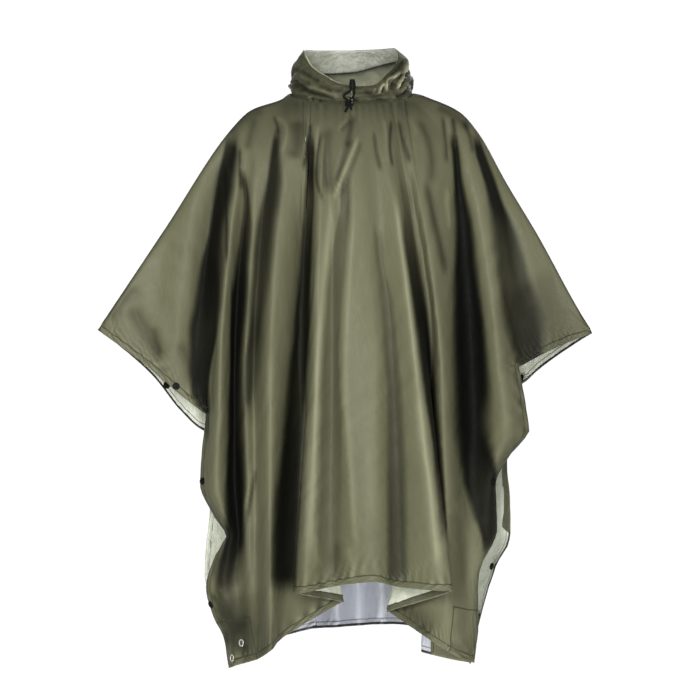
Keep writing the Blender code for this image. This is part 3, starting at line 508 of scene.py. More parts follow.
# Short creases of the front: half the width, height (out is above nought), tone (painted shade above
# nought, painted highlight below), then x and z along the line.
FRONT_CREASES = (
    (4, 3, -0.14, ((-151, -33), (-127, -43), (-120, -61), (-131, -108))),
    (12, -4, 0.28, ((-102, -35), (-98, -78), (-110, -118))),
    (3, -3, 0.3, ((-146, -30), (-139, -49), (-136, -70))),
    (3, -3, 0.4, ((-71, -40), (-80, -98), (-88, -140))),
    (4, 3, -0.16, ((-59, -40), (-63, -98), (-67, -139))),
    (9, -3, 0.26, ((-38, -45), (-44, -90), (-44, -147), (-36, -190))),
    (3, 3, -0.3, ((24, -64), (-4, -132), (-33, -204))),
    (5, -3, 0.26, ((8, -70), (-10, -118), (-26, -168))),
    (3, -3, 0.22, ((30, -74), (6, -137), (-18, -196))),
    (2.5, -3, 0.36, ((-52, -56), (-60, -110), (-61, -160), (-44, -206))),
    (4, 3, -0.12, ((-44, -60), (-50, -110), (-50, -165))),
    (3, -2, 0.2, ((8, -38), (-4, -50), (-16, -62))),
    (3, 2, -0.12, ((0, -36), (-12, -48), (-24, -60))),
    (5, -3, 0.25, ((12, -26), (4, -60), (-4, -96))),
    (3, -3, 0.28, ((51, -56), (55, -98), (65, -141))),
    (3, 3, -0.12, ((70, -30), (77, -78), (82, -127))),
    (3, -3, 0.42, ((85, -36), (82, -98), (89, -135))),
    (4, -3, 0.3, ((98, -36), (108, -78), (123, -127))),
    (6, 3, -0.08, ((118, -26), (140, -69))),
    (6, -3, 0.24, ((134, -33), (157, -78), (165, -127), (161, -170))),
    (3, -3, 0.36, ((184, -27), (192, -88), (193, -130))),
    (3, 3, -0.1, ((195, -27), (201, -88))),
    (3, -3, 0.4, ((204, -32), (209, -60), (210, -90))),
    (4, -3, 0.3, ((225, -37), (238, -70), (247, -108))),
    (9, -2, 0.22, ((-236, -72), (-206, -40), (-160, -18))),
    (7, -2, 0.26, ((170, -12), (212, -34), (240, -62))),
    (6, -3, 0.2, ((-180, -32), (-190, -60), (-200, -100))),
    (6, 3, -0.28, ((-16, -160), (-28, -196), (-34, -226), (-39, -274), (-49, -392), (-58, -510),
                   (-62, -627), (-66, -745), (-71, -840), (-76, -945))),
    (4, 2, -0.12, ((-58, -240), (-68, -451), (-76, -600), (-80, -745), (-86, -925))),
    (5, 3, -0.14, ((8, -150), (9, -255), (3, -333), (-4, -451), (-7, -568), (2, -686), (9, -804),
                   (18, -925))),
    (5, 3, -0.24, ((90, -170), (98, -225), (104, -274), (118, -392), (131, -510), (140, -600))),
    (7, 3, -0.3, ((134, -540), (143, -627), (152, -700), (160, -745), (172, -862), (182, -950))),
    (10, 4, -0.12, ((-184, -600), (-190, -700), (-186, -800), (-182, -870))),
    (12, 2, -0.08, ((66, -420), (54, -560), (48, -700), (50, -850))),
    (6, -4, 0.35, ((152, -150), (165, -216), (178, -274), (188, -320), (192, -350))),
    (3, 3, -0.12, ((196, -170), (198, -216), (200, -256))),
    (3, -3, 0.5, ((-242, -120), (-238, -196), (-238, -330))),
    (3, -3, 0.4, ((-212, -90), (-212, -150), (-208, -180))),
    (5, -3, 0.3, ((-222, -86), (-228, -110), (-232, -140))),
    (3, -2, 0.4, ((-178, -722), (-187, -762), (-198, -828))),
    (3, 2, -0.1, ((-186, -715), (-195, -762), (-205, -818))),
    (10, -5, 0.2, ((-428, -402), (-398, -452), (-362, -508))),
    (9, -4, 0.16, ((-412, -362), (-440, -398), (-468, -436))),
    (7, -4, 0.2, ((-382, -440), (-376, -480), (-366, -512))),
    (16, -4, 0.34, ((-262, -960), (-240, -1000), (-206, -1050))),
    (12, -3, 0.25, ((-250, -1050), (-220, -1064), (-190, -1080))),
    (6, -3, 0.2, ((-60, -905), (-52, -950), (-46, -985))),
    (7, -3, 0.2, ((-20, -860), (-26, -905), (-22, -948))),
    (6, 4, -0.1, ((-3, -870), (6, -910), (10, -948))),
    (10, -3, 0.1, ((206, -800), (222, -870), (226, -960))),
    (12, 2, -0.1, ((-158, -470), (-163, -600), (-168, -710), (-166, -830))),
    (10, 2, -0.1, ((176, -850), (190, -910), (200, -985))),
    (6, 2, -0.12, ((-66, -840), (-60, -900), (-56, -960))),
    (9, -3, 0.2, ((-300, -560), (-310, -520), (-330, -470))),
    (30, -2, 0.14, ((-214, -960), (-206, -1010), (-196, -1060))),
    (20, -3, 0.28, ((90, -972), (130, -1012), (166, -1052))),
    (20, 2, -0.08, ((205, -975), (212, -1020), (216, -1065))),
    (34, -2, 0.17, ((-275, -990), (-215, -1055), (-120, -1078))),
    (45, -2, 0.22, ((330, -350), (405, -460), (460, -530))),
)
# Long hanging folds of the back, in the same form; their darkness is painted shade too.
BACK_BANDS = (
    ("left", 9, (
        (-60, -82, -74, -70, -62, 0.3), (-200, -104, -94, -82, -70, 0.6),
        (-420, -128, -112, -96, -84, 0.72), (-700, -140, -120, -104, -88, 0.74),
        (-900, -138, -120, -108, -94, 0.66), (-1200, -134, -118, -106, -94, 0.6),)),
    ("middle", 8, (
        (-80, -26, -20, -16, -10, 0.25), (-240, -34, -26, -16, -8, 0.55), (-500, -44, -32, -18, -8, 0.66),
        (-800, -42, -30, -16, -4, 0.7), (-1200, -38, -28, -16, -6, 0.62),)),
    ("right", 9, (
        (-60, 32, 38, 42, 50, 0.3), (-220, 34, 44, 52, 62, 0.62), (-480, 40, 52, 66, 80, 0.7),
        (-760, 42, 56, 70, 86, 0.74), (-1200, 48, 60, 74, 86, 0.62),)),
    ("right_side", 9, (
        (-90, 110, 116, 120, 126, 0.3), (-260, 126, 134, 142, 152, 0.6), (-500, 142, 154, 166, 182, 0.74),
        (-700, 156, 166, 178, 192, 0.7), (-860, 170, 176, 184, 194, 0.55),
        (-960, 178, 182, 186, 192, 0.3),)),
    ("left_side", 9, (
        (-80, -142, -136, -132, -126, 0.3), (-260, -166, -156, -148, -138, 0.6),
        (-480, -190, -176, -164, -150, 0.74), (-660, -194, -182, -172, -162, 0.6),
        (-800, -190, -184, -180, -174, 0.3),)),
    ("arm_left", 11, (
        (-70, -250, -242, -238, -230, 0.4), (-220, -284, -272, -262, -246, 0.72),
        (-380, -314, -298, -284, -264, 0.8), (-520, -320, -304, -294, -276, 0.74),
        (-640, -304, -294, -288, -280, 0.4),)),
    ("arm_right", 11, (
        (-60, 240, 246, 252, 262, 0.4), (-200, 264, 276, 288, 300, 0.72), (-340, 288, 304, 320, 338, 0.8),
        (-460, 314, 326, 340, 354, 0.7), (-540, 330, 336, 344, 352, 0.4),)),
)
# Short creases of the back, in the same form; their tone is painted shade and painted highlight.
BACK_CREASES = (
    (5, -4, 0.3, ((-96, -40), (-108, -100), (-124, -170))),
    (3, 3, -0.14, ((-48, -50), (-54, -180), (-62, -330), (-66, -520), (-70, -760))),
    (4, -4, 0.3, ((84, -44), (98, -110), (120, -190))),
    (3, 3, -0.14, ((14, -60), (16, -200), (20, -420), (24, -640))),
    (4, -3, 0.3, ((-30, -52), (-36, -120), (-44, -180))),
    (3, 3, -0.14, ((94, -120), (106, -300), (114, -520), (120, -800))),
    (12, -5, 0.2, ((430, -398), (400, -450), (366, -500))),
    (10, -4, 0.17, ((-420, -380), (-444, -412), (-470, -440))),
    (6, -3, 0.25, ((160, -70), (170, -150), (182, -250))),
    (10, -4, 0.2, ((-230, -880), (-214, -950), (-196, -1030))),
)
# Creases of the hood where it faces front, in the same form; their tone is painted shade and painted
# highlight.
HOOD_CREASES = (
    (2.4, 3, -1.0, ((122, 82), (114, 64), (108, 47), (100, 31), (95, 17))),
    (1.3, -3, 0.75, ((112, 42), (106, 32), (99, 20))),
    (1.2, -3, 0.55, ((107, 54), (98, 38), (93, 22))),
    (1.9, 3, -0.85, ((107, 58), (93, 47), (81, 41), (75, 30), (76, 13))),
    (1.0, 2, -0.5, ((101, 41), (94, 29))),
    (1.3, 2, -0.35, ((96, 52), (84, 35), (80, 26))),
    (4.0, -3, 0.3, ((89, 36), (86, 18))),
    (1.6, 3, -0.9, ((72, 33), (64, 24), (60, 11))),
    (1.4, -3, 0.4, ((70, 26), (67, 13))),
    (1.1, 2, -0.45, ((54, 24), (50, 13))),
    (2.2, 3, -0.4, ((118, 35), (110, 25), (103, 12))),
    (1.5, 3, -0.75, ((131, 9), (121, 5), (112, -2), (104, -8))),
    (1.0, -2, 0.35, ((122, 1), (114, -4))),
    (1.0, 2, -0.4, ((107, 83), (100, 74))),
    (6.0, -3, 0.3, ((114, 84), (101, 62), (84, 46), (70, 34))),
    (3.0, -3, 0.3, ((116, 20), (106, 10), (92, 4))),
    (3.0, 2, -0.14, ((96, 6), (84, 2), (66, 4))),
    (4.0, -4, 0.3, ((8, 2), (16, -4), (22, -12))),
    (3.5, 3, -0.26, ((-102, 38), (-78, 27), (-53, 19), (-28, 9), (-8, 2))),
    (3.0, -4, 0.3, ((-96, 27), (-74, 16), (-46, 8), (-20, -2))),
    (2.2, 3, -0.3, ((-76, 8), (-68, -10))),
    (2.0, -3, 0.36, ((-71, 6), (-62, -10))),
    (2.0, 3, -0.28, ((-66, 2), (-56, -13))),
    (2.0, -3, 0.3, ((-56, 2), (-48, -10))),
    (5.0, -4, 0.3, ((-110, 30), (-92, 28), (-72, 34))),
    (3.0, -3, 0.24, ((-96, 60), (-72, 44), (-54, 36))),
    (4.0, 3, -0.12, ((-104, 52), (-88, 46), (-70, 38))),
    (4.0, -3, 0.2, ((-60, 28), (-40, 22), (-30, 16))),
    (5.0, -3, 0.2, ((30, 22), (42, 12), (60, 2), (80, -4))),
)

# Long folds round the hood's sides and back, as the creases, but their places are degrees from the middle
# of the front, to the viewer's right above nought, and hundredths of the rise.
# Their tone is painted shade and painted highlight, as on the creases.
HOOD_FOLDS = (
    (6.0, 3.5, -0.12, ((58, 84), (95, 70), (135, 58), (165, 54), (180, 54))),
    (5.0, -3.0, 0.3, ((62, 76), (95, 61), (135, 48), (165, 44), (180, 44))),
    (5.5, 3.0, -0.1, ((60, 52), (90, 48), (125, 34), (160, 28), (180, 30))),
    (4.5, -3.0, 0.28, ((66, 44), (92, 39), (125, 25), (160, 19), (176, 19))),
    (4.0, 2.5, -0.1, ((70, 26), (96, 24), (120, 16), (140, 9))),
    (4.0, -2.5, 0.24, ((112, 84), (135, 78), (160, 70), (180, 70))),
    (5.0, 3.0, -0.1, ((104, 92), (135, 86), (162, 80), (180, 80))),
    (3.5, -2.0, 0.22, ((78, 64), (96, 56), (108, 54))),
    (3.5, -2.5, 0.26, ((70, 34), (84, 30), (100, 31))),
    (6.0, 3.5, -0.12, ((-64, 80), (-98, 72), (-138, 60), (-166, 55), (-180, 54))),
    (5.0, -3.0, 0.3, ((-60, 70), (-98, 62), (-138, 49), (-166, 45), (-180, 44))),
    (5.5, 3.0, -0.1, ((-66, 56), (-96, 44), (-130, 36), (-162, 29), (-180, 30))),
    (4.5, -3.0, 0.28, ((-62, 46), (-96, 34), (-130, 26), (-162, 20), (-176, 19))),
    (4.0, 2.5, -0.1, ((-74, 28), (-100, 22), (-128, 14))),
    (4.0, -2.5, 0.22, ((-104, 86), (-130, 79), (-158, 71), (-180, 70))),
    (5.0, 3.0, -0.1, ((-96, 90), (-128, 87), (-160, 81), (-180, 80))),
    (3.5, -2.0, 0.24, ((-82, 58), (-100, 53), (-114, 55))),
)
# Millimetres of cloth to a degree and to a hundredth of the rise.
FOLD_DEGREE = 1.75
FOLD_RISE = 1.2


def mix(start, end, share):
    return start + (end - start) * share


def slope_at(rows, index, column):
    """Slope of a table's column at a row: the harmonic mean of its neighbours', none at a peak or dip."""
    steps = []
    for first in (index - 1, index):
        if 0 <= first < len(rows) - 1:
            run = rows[first + 1][0] - rows[first][0]
            steps.append((rows[first + 1][column] - rows[first][column]) / run)
    if len(steps) == 1:
        return steps[0]
    if steps[0] * steps[1] <= 0:
        return 0.0
    return 2 * steps[0] * steps[1] / (steps[0] + steps[1])


def hermite(start, end, start_slope, end_slope, share):
    square = share * share
    cube = square * share
    return (start * (2 * cube - 3 * square + 1) + end * (3 * square - 2 * cube)
            + start_slope * (cube - 2 * square + share) + end_slope * (cube - square))


def read_table(rows, key):
    """Other columns of a table at a value of its first column, without overshoot between rows."""
    rows = sorted(rows)
    key = min(max(key, rows[0][0]), rows[-1][0])
    index = 0
    while index < len(rows) - 2 and key > rows[index + 1][0]:
        index += 1
    low, high = rows[index], rows[index + 1]
    span = high[0] - low[0]
    share = (key - low[0]) / span
    return [hermite(low[column], high[column], slope_at(rows, index, column) * span,
                    slope_at(rows, index + 1, column) * span, share)
            for column in range(1, len(low))]


def bow(start, middle, end, share):
    return read_table(((0.0, start), (0.5, middle), (1.0, end)), share)[0]


def true_place(points):
    """Places of points that the tables give as drawn in perspective."""
    nearness = 1 + points[..., 1:2] / VIEW_DISTANCE
    return np.concatenate((VIEW_X + (points[..., 0:1] - VIEW_X) * nearness, points[..., 1:2],
                           VIEW_Z + (points[..., 2:3] - VIEW_Z) * nearness), axis=-1)


def curve_through(stations, positions):
    """Centripetal Catmull-Rom curve through a row of stations, at fractional indices."""
    ends = np.vstack((2 * stations[0] - stations[1], stations, 2 * stations[-1] - stations[-2]))
    index = np.minimum(positions.astype(int), len(stations) - 2)
    share = (positions - index)[:, None]
    p0, p1, p2, p3 = (ends[index + step] for step in range(4))
    gaps = [np.sqrt(np.maximum(np.linalg.norm(b - a, axis=1), 1e-6))[:, None]
            for a, b in ((p0, p1), (p1, p2), (p2, p3))]
    k0 = np.zeros_like(share)
    k1, k2, k3 = np.cumsum(gaps, axis=0)
    knot = mix(k1, k2, share)

    def between(first, last, start, end):
        return first * ((end - knot) / (end - start)) + last * ((knot - start) / (end - start))

    a1, a2, a3 = between(p0, p1, k0, k1), between(p1, p2, k1, k2), between(p2, p3, k2, k3)
    return between(between(a1, a2, k0, k2), between(a2, a3, k1, k3), k1, k2)


def smooth_line(stations, count):
    """Even number of places on the curve through a row of stations."""
    return curve_through(stations, np.linspace(0, len(stations) - 1, count))


class Half:
    """One half of the body cloth: side is -1 for the front and 1 for the back."""

    def __init__(self, side, folds, wing_left, wing_right, sleeves, edges):
        self.side = side
        self.folds = folds
        self.wing_left = wing_left
        self.wing_right = wing_right
        self.sleeve_left, self.sleeve_right = sleeves
        self.edge_left, self.edge_right = edges

    def top_point(self, x):
        """Place on the neck's seam, or on the shoulder line outside it."""
        across = (x - NECK_CENTRE_X) / NECK_HALF_WIDTH
        if abs(across) < 1:
            bulge = math.sqrt(1 - across * across)
            low = NECK_FRONT_Z if self.side < 0 else NECK_BACK_Z
            y = NECK_CENTRE_Y + self.side * max(NECK_HALF_DEPTH * bulge, SEAM_GAP / 2)
            return Vector((x, y, mix(NECK_SIDE_Z, low, bulge)))
        (z,) = read_table(SHOULDER_LINE, x)
        wrist_x = SHOULDER_LINE[0][0] if x < NECK_CENTRE_X else SHOULDER_LINE[-1][0]
        neck_x = NECK_CENTRE_X + math.copysign(NECK_HALF_WIDTH, x - NECK_CENTRE_X)
        y = mix(NECK_CENTRE_Y, WRIST_Y, (x - neck_x) / (wrist_x - neck_x))
        return Vector((x, y + self.side * SEAM_GAP / 2, z))

    def break_z(self, mid_x):
        """Height at which the sleeves end, read across from one side edge to the other."""
        first, last = self.folds[0][2], self.folds[-1][2]
        return mix(self.edge_left[0][0], self.edge_right[0][0], (mid_x - first) / (last - first))

    def edge_shift(self, fold_index, z):
        """How far the wave of a side edge carries a fold next to it."""
        shift = Vector((0, 0, 0))
        from_right = len(self.folds) - 1 - fold_index
        for edge, near in ((self.edge_left, fold_index), (self.edge_right, from_right)):
            if near < len(EDGE_WAVE_SHARES) and z < edge[0][0]:
                x, y = read_table(edge, z)
                (top_z, top_x, top_y), (low_z, low_x, low_y) = edge[0], edge[-1]
                down = (z - top_z) / (low_z - top_z)
                wave = Vector((x - mix(top_x, low_x, down), y - mix(top_y, low_y, down), 0))
                shift += wave * EDGE_WAVE_SHARES[near]
        return shift

    def fold_point(self, fold_index, row):
        """Place on a fold at a row, drawn as in the tables."""
        _, top_x, mid_x, hem_x, mid_y, hem_y, hem_z = self.folds[fold_index]
        top = self.top_point(top_x)
        level = self.break_z(mid_x)
        outermost = fold_index in (0, len(self.folds) - 1)
        edge = self.edge_left if fold_index == 0 else self.edge_right
        if outermost and row > 1:
            z = mix(edge[0][0], edge[-1][0], row - 1)
            x, y = read_table(edge, z)
            return Vector((x, y, z))
        if row <= 1:
            z = mix(top.z, level, row ** ROW_EASE)
        else:
            z = mix(level, hem_z, row - 1)
        drop = top.z - z
        if outermost:
            share = drop / (top.z - level)
            x = bow(top_x, mix(top_x, edge[0][1], EDGE_LEAN), edge[0][1], share)
            hang = mix(self.side * CHEST_HALF_DEPTH, edge[0][2], share)
        else:
            share = drop / (top.z - hem_z)
            x = bow(top_x, mid_x, hem_x, share)
            swell = CHEST_SWELL * math.exp(-(top_x / CHEST_SWELL_REACH) ** 2)
            hang = bow(self.side * (CHEST_HALF_DEPTH + swell), mid_y, hem_y, share)
        y = top.y + (hang - top.y) * (1 - math.exp(-drop / FALL_LENGTH))
        point = Vector((x, y, z))
        if not outermost and row > 1:
            point += self.edge_shift(fold_index, z)
        return point

    def wing_point(self, column, row):
        """Place on a column between the shoulder line and a sleeve's hem."""
        ridge_x, hem_x, sink = column
        top = self.top_point(ridge_x)
        sleeve = self.sleeve_left if ridge_x < 0 else self.sleeve_right
        y, z = read_table(sleeve, hem_x)
        bottom = Vector((hem_x, y, z))
        length = (bottom - top).length
        if length < 1.0:
            return top
        share = row ** ROW_EASE
        point = top.lerp(bottom, share)
        turned = 1 - math.exp(-length * share / SLEEVE_TURN_LENGTH)
        turned /= 1 - math.exp(-length / SLEEVE_TURN_LENGTH)
        dip = sink * math.sin(math.pi * share ** SLEEVE_SINK_SKEW)
        point.y = mix(top.y, bottom.y, turned) - self.side * dip
        return point

    def stations(self, row):
        points = []
        if row <= 1:
            points += [self.wing_point(column, row) for column in self.wing_left]
        points += [self.fold_point(index, row) for index in range(len(self.folds))]
        if row <= 1:
            points += [self.wing_point(column, row) for column in self.wing_right]
        return np.array(points, float)


FRONT = Half(-1, FRONT_FOLDS, FRONT_WING_LEFT, FRONT_WING_RIGHT,
             (FRONT_SLEEVE_LEFT, FRONT_SLEEVE_RIGHT), (FRONT_EDGE_LEFT, FRONT_EDGE_RIGHT))
BACK = Half(1, BACK_FOLDS, BACK_WING_LEFT, BACK_WING_RIGHT,
            (BACK_SLEEVE_LEFT, BACK_SLEEVE_RIGHT), (BACK_EDGE_LEFT, BACK_EDGE_RIGHT))


def noise_field(*coordinates):
    """Smooth noise between -1 and 1 at every point of a grid."""
    flat = np.stack(np.broadcast_arrays(*coordinates), axis=-1).reshape(-1, 3)
    values = np.array([noise.noise(place) for place in flat.tolist()])
    return values.reshape(np.broadcast(*coordinates).shape)


def uneven_wave(length, pitch, seed):
    """Wave along a seam whose pitch and height wander: its places and its values."""
    places = np.arange(0.0, length + pitch, 1.0)
    drift, height = (np.array([noise.noise((place / (reach * pitch), seed, row)) for place in places])
                     for reach, row in ((WAVE_DRIFT[1], 0.3), (WAVE_HEIGHT[2], 7.7)))
    height = np.clip(WAVE_HEIGHT[0] + WAVE_HEIGHT[1] * height, *WAVE_LIMITS)
    return places, np.sin(2 * math.pi * (places / pitch + WAVE_DRIFT[0] * drift)) * height


def smooth_step(values, low, high):
    share = np.clip((values - low) / (high - low), 0, 1)
    return share * share * (3 - 2 * share)


def band_fields(x, z, bands):
    """Depth and painted shade of the long hanging folds at places seen from the front."""
    depth = np.zeros_like(x)
    shade = np.zeros_like(x)
    for _, band_depth, rows in bands:
        heights = np.linspace(rows[-1][0], rows[0][0], BAND_SAMPLES)
        columns = np.array([read_table(rows, height) for height in heights]).T
        start, dark_from, dark_to, end, darkness = (np.interp(z, heights, column) for column in columns)
        start, end = mix(start, dark_from, BAND_CRISPNESS), mix(end, dark_to, BAND_CRISPNESS)
        ends = np.clip((rows[0][0] - z) / BAND_FADE, 0, 1) * np.clip((z - rows[-1][0]) / BAND_FADE, 0, 1)
        left = (start + dark_from) / 2
        right = (dark_to + end) / 2
        away = (x - (left + right) / 2) / ((right - left) / 2)
        depth += band_depth * ends / (1 + (away / BAND_SHOULDER) ** BAND_POWER)
        profile = smooth_step(x, start, dark_from) * (1 - smooth_step(x, dark_to, end))
        shade = np.maximum(shade, darkness * profile * ends)
    return depth, shade


def crease_fields(x, z, creases, held_at=1e9):
    """Height and painted tone of creases at places seen from the front: painted shade above nought, painted
    highlight below. They don't taper where x is held_at.
    """
    height = np.zeros_like(x)
    tone = np.zeros_like(x)
    for half_width, crease_height, crease_painted_tone, line in creases:
        stations = np.array(line, float)
        if len(stations) > 2:
            stations = smooth_line(stations, CREASE_STEPS * len(stations))
        reach = CREASE_REACH * half_width
        near = ((x > stations[:, 0].min() - reach) & (x < stations[:, 0].max() + reach)
                & (z > stations[:, 1].min() - reach) & (z < stations[:, 1].max() + reach))
        places = np.stack((x[near], z[near]), axis=-1)
        starts = stations[:-1]
        steps = stations[1:] - starts
        lengths = np.linalg.norm(steps, axis=1)
        before = np.concatenate(((0.0,), np.cumsum(lengths)))
        along = np.einsum("pij,ij->pi", places[:, None] - starts, steps) / lengths ** 2
        along = np.clip(along, 0, 1)
        away = np.linalg.norm(places[:, None] - starts - along[..., None] * steps, axis=2)
        nearest = np.argmin(away, axis=1)
        picked = np.arange(len(places))
        gone = (before[nearest] + along[picked, nearest] * lengths[nearest]) / before[-1]
        to_end = 1.0 if abs(stations[-1, 0]) >= held_at - 1e-6 else 1 - gone
        taper = smooth_step(np.minimum(gone, to_end) / CREASE_TAPER, 0, 1)
        profile = taper * np.exp(-(away[picked, nearest] / (CREASE_SPREAD * half_width)) ** CREASE_POWER)
        height[near] += crease_height * profile
        tone[near] += crease_painted_tone * profile
    return height, tone


def fine_columns(half):
    """Positions of the grid's columns along the stations, one for every few millimetres of cloth."""
    widest = half.stations(1.0)
    hem = half.stations(2.0)
    first = len(half.wing_left)
    positions = [0.0]
    for index in range(len(widest) - 1):
        length = np.linalg.norm(widest[index + 1] - widest[index])
        if first <= index < first + len(hem) - 1:
            length = max(length, np.linalg.norm(hem[index - first + 1] - hem[index - first]))
        steps = max(LEAST_COLUMNS, round(length / COLUMN_PITCH))
        positions += [index + (step + 1) / steps for step in range(steps)]
    return np.array(positions)


def fine_rows():
    """Rows from the ridge to the hem: close together at the ridge and over the hems."""
    ridge = [(step / RIDGE_ROWS) ** 2 * NECK_ROWS[0] for step in range(RIDGE_ROWS)]
    return np.concatenate((ridge, np.linspace(*NECK_ROWS), np.linspace(*UPPER_ROWS), SLEEVE_HEM_ROWS,
                           np.linspace(*LOWER_ROWS), HEM_ROWS))


def grid_lengths(points):
    """Lengths down the columns and along the rows of a grid, at each of its points."""
    down, across = (np.linalg.norm(np.diff(points, axis=axis), axis=2) for axis in (0, 1))
    return (np.vstack((np.zeros(points.shape[1]), np.cumsum(down, axis=0))),
            np.hstack((np.zeros((points.shape[0], 1)), np.cumsum(across, axis=1))))


class Cloth:
    """Grid of points of one half, with what the dressing needs to know of each point."""

    def __init__(self, half, bands, creases):
        self.half = half
        self.rows = fine_rows()
        self.positions = fine_columns(half)
        first = len(half.wing_left)
        last = first + len(half.folds) - 1
        self.body = (self.positions >= first) & (self.positions <= last)
        self.upper = self.rows <= 1.0
        shape = (len(self.rows), len(self.positions), 3)
        self.points = np.zeros(shape)
        tops = half.stations(0.0)
        index = np.minimum(self.positions.astype(int), len(tops) - 2)
        self.top_x = mix(tops[index, 0], tops[index + 1, 0], self.positions - index)
        exact = np.array([half.top_point(x) for x in self.top_x])
        stray = exact - curve_through(tops, self.positions)
        for number, row in enumerate(self.rows):
            stations = half.stations(row)
            if row <= 1:
                near_top = max(0.0, 1 - row / TOP_FIT_ROWS) ** 2
                self.points[number] = curve_through(stations, self.positions) + stray * near_top
            else:
                self.points[number, self.body] = curve_through(stations, self.positions[self.body] - first)
                self.points[number, ~self.body] = self.points[number - 1, ~self.body]
        self.drawn_x = self.points[..., 0].copy()
        self.drawn_z = self.points[..., 2].copy()
        self.points = true_place(self.points)
        self.there = np.ones(shape[:2], bool)
        self.there[np.ix_(~self.upper, ~self.body)] = False
        self.measure()
        self.round_the_ridge()
        self.ease_neck_sides()
        self.hang(bands, creases)
        self.measure()
        self.crease()
        self.measure()

    def measure(self):
        """Outward directions, lengths along rows and columns, and distance to the nearest hem."""
        points = self.points
        lower = np.nonzero(self.upper)[0][-1]
        body_columns = np.nonzero(self.body)[0]
        first, last = body_columns[0], body_columns[-1] + 1
        self.normals = np.zeros_like(points)
        self.normals[:lower + 1] = grid_normals(points[:lower + 1], self.half.side)
        low = grid_normals(points[lower:, first:last], self.half.side)
        self.normals[lower + 1:, first:last] = low[1:]
        self.down, self.across = grid_lengths(points)
        self.from_side = np.full(points.shape[:2], FAR)
        from_left = np.abs(self.across[lower:] - self.across[lower:, first:first + 1])
        from_right = np.abs(self.across[lower:, last - 1:last] - self.across[lower:])
        self.from_side[lower:] = np.minimum(from_left, from_right)
        self.edge = np.minimum(self.down[-1][None, :] - self.down, self.from_side)
        for column in (first, last - 1):
            reach = np.linalg.norm(points[:lower, body_columns] - points[lower, column], axis=2)
            self.edge[:lower, first:last] = np.minimum(self.edge[:lower, first:last], reach)

    def past_neck(self):
        """How far each column's top lies outside the neck's seam."""
        return np.abs(self.top_x - NECK_CENTRE_X) - NECK_HALF_WIDTH

    def round_the_ridge(self):
        """Lets the cloth pass over the shoulders and arms in a small round, in place of a sharp bend."""
        outside = np.abs(self.points[0, :, 0] - NECK_CENTRE_X) - NECK_HALF_WIDTH
        outside = np.clip(outside / RIDGE_START, 0, 1)[None, :]
        bulge = np.sqrt(2 * RIDGE_RADIUS * self.down) * np.exp(-self.down / RIDGE_FADE)
        room = np.clip(self.down[-1] / RIDGE_ROOM, 0, 1)[None, :]
        self.points[..., 1] += self.half.side * bulge * outside * room

    def ease_neck_sides(self):
        """Evens out the cloth below the ends of the neck's seam, where it turns onto the shoulders."""
        y = self.points[..., 1]
        share = np.exp(-(self.past_neck() / NECK_EASE_REACH) ** 2)[None, :]
        share = share * np.clip(self.down / NECK_EASE_TOP, 0, 1)
        share *= np.clip((NECK_EASE_END - self.down) / NECK_EASE_FADE, 0, 1)
        for _ in range(NECK_EASE_PASSES):
            even = y.copy()
            even[:, 1:-1] = (y[:, :-2] + 2 * y[:, 1:-1] + y[:, 2:]) / 4
            y = mix(y, even, share)
        self.points[..., 1] = y

    def hang(self, bands, creases):
        """Deepens the long folds and lays the short creases, in and out of the panel alone, and paints
        their shade and highlights, with painted shade under the hood, on the ridge and in hollows.
        """
        depth, shade = band_fields(self.drawn_x, self.drawn_z, bands)
        if self.half.side > 0:
            shade = shade * BACK_SHADE
        height, tone = crease_fields(self.drawn_x, self.drawn_z, creases)
        hold = 1 - np.exp(-self.down / FOLD_HOLD)
        self.points[..., 1] += self.half.side * (height - depth) * hold
        beside = np.clip(np.abs(self.drawn_x - NECK_CENTRE_X) - NECK_HALF_WIDTH, 0, None)
        under_hood = np.exp(-np.hypot(beside, self.drawn_z - NECK_FRONT_Z) / NECK_SHADE_REACH)
        outside = np.clip(self.past_neck() / RIDGE_SHADE_START, 0, 1)[None, :]
        on_ridge = outside * np.exp(-(self.down / RIDGE_SHADE_REACH) ** 2)
        at_side = 1 - SIDE_SHADE_LOSS * np.exp(-(self.from_side / SIDE_SHADE_REACH) ** 2)
        at_side = np.where((self.rows > SIDE_SHADE_ROW)[:, None], at_side, 1.0)
        shade = (shade + tone * (1 - shade)) * at_side
        self.shade = np.clip(shade + HOLLOW_SHADE * self.hollows()
                             + NECK_SHADE * under_hood + RIDGE_SHADE * on_ridge, *SHADE_LIMITS)

    def hollows(self):
        """How far each point lies behind the folds on both sides of it, from 0 to 1."""
        outward = self.half.side * self.points[..., 1]
        hull = outward.copy()
        for step in range(1, SHADE_WINDOW + 1):
            hull[:, step:] = np.maximum(hull[:, step:], outward[:, :-step])
            hull[:, :-step] = np.maximum(hull[:, :-step], outward[:, step:])
        smooth = hull.copy()
        for step in range(1, SHADE_WINDOW + 1):
            smooth[:, step:] += hull[:, :-step]
            smooth[:, :step] += hull[:, :1]
            smooth[:, :-step] += hull[:, step:]
            smooth[:, -step:] += hull[:, -1:]
        smooth /= 2 * SHADE_WINDOW + 1
        fade = np.clip(self.down / SHADE_FADE, 0, 1)
        return np.clip((smooth - outward - SHADE_START) / SHADE_DEPTH, 0, 1) * fade

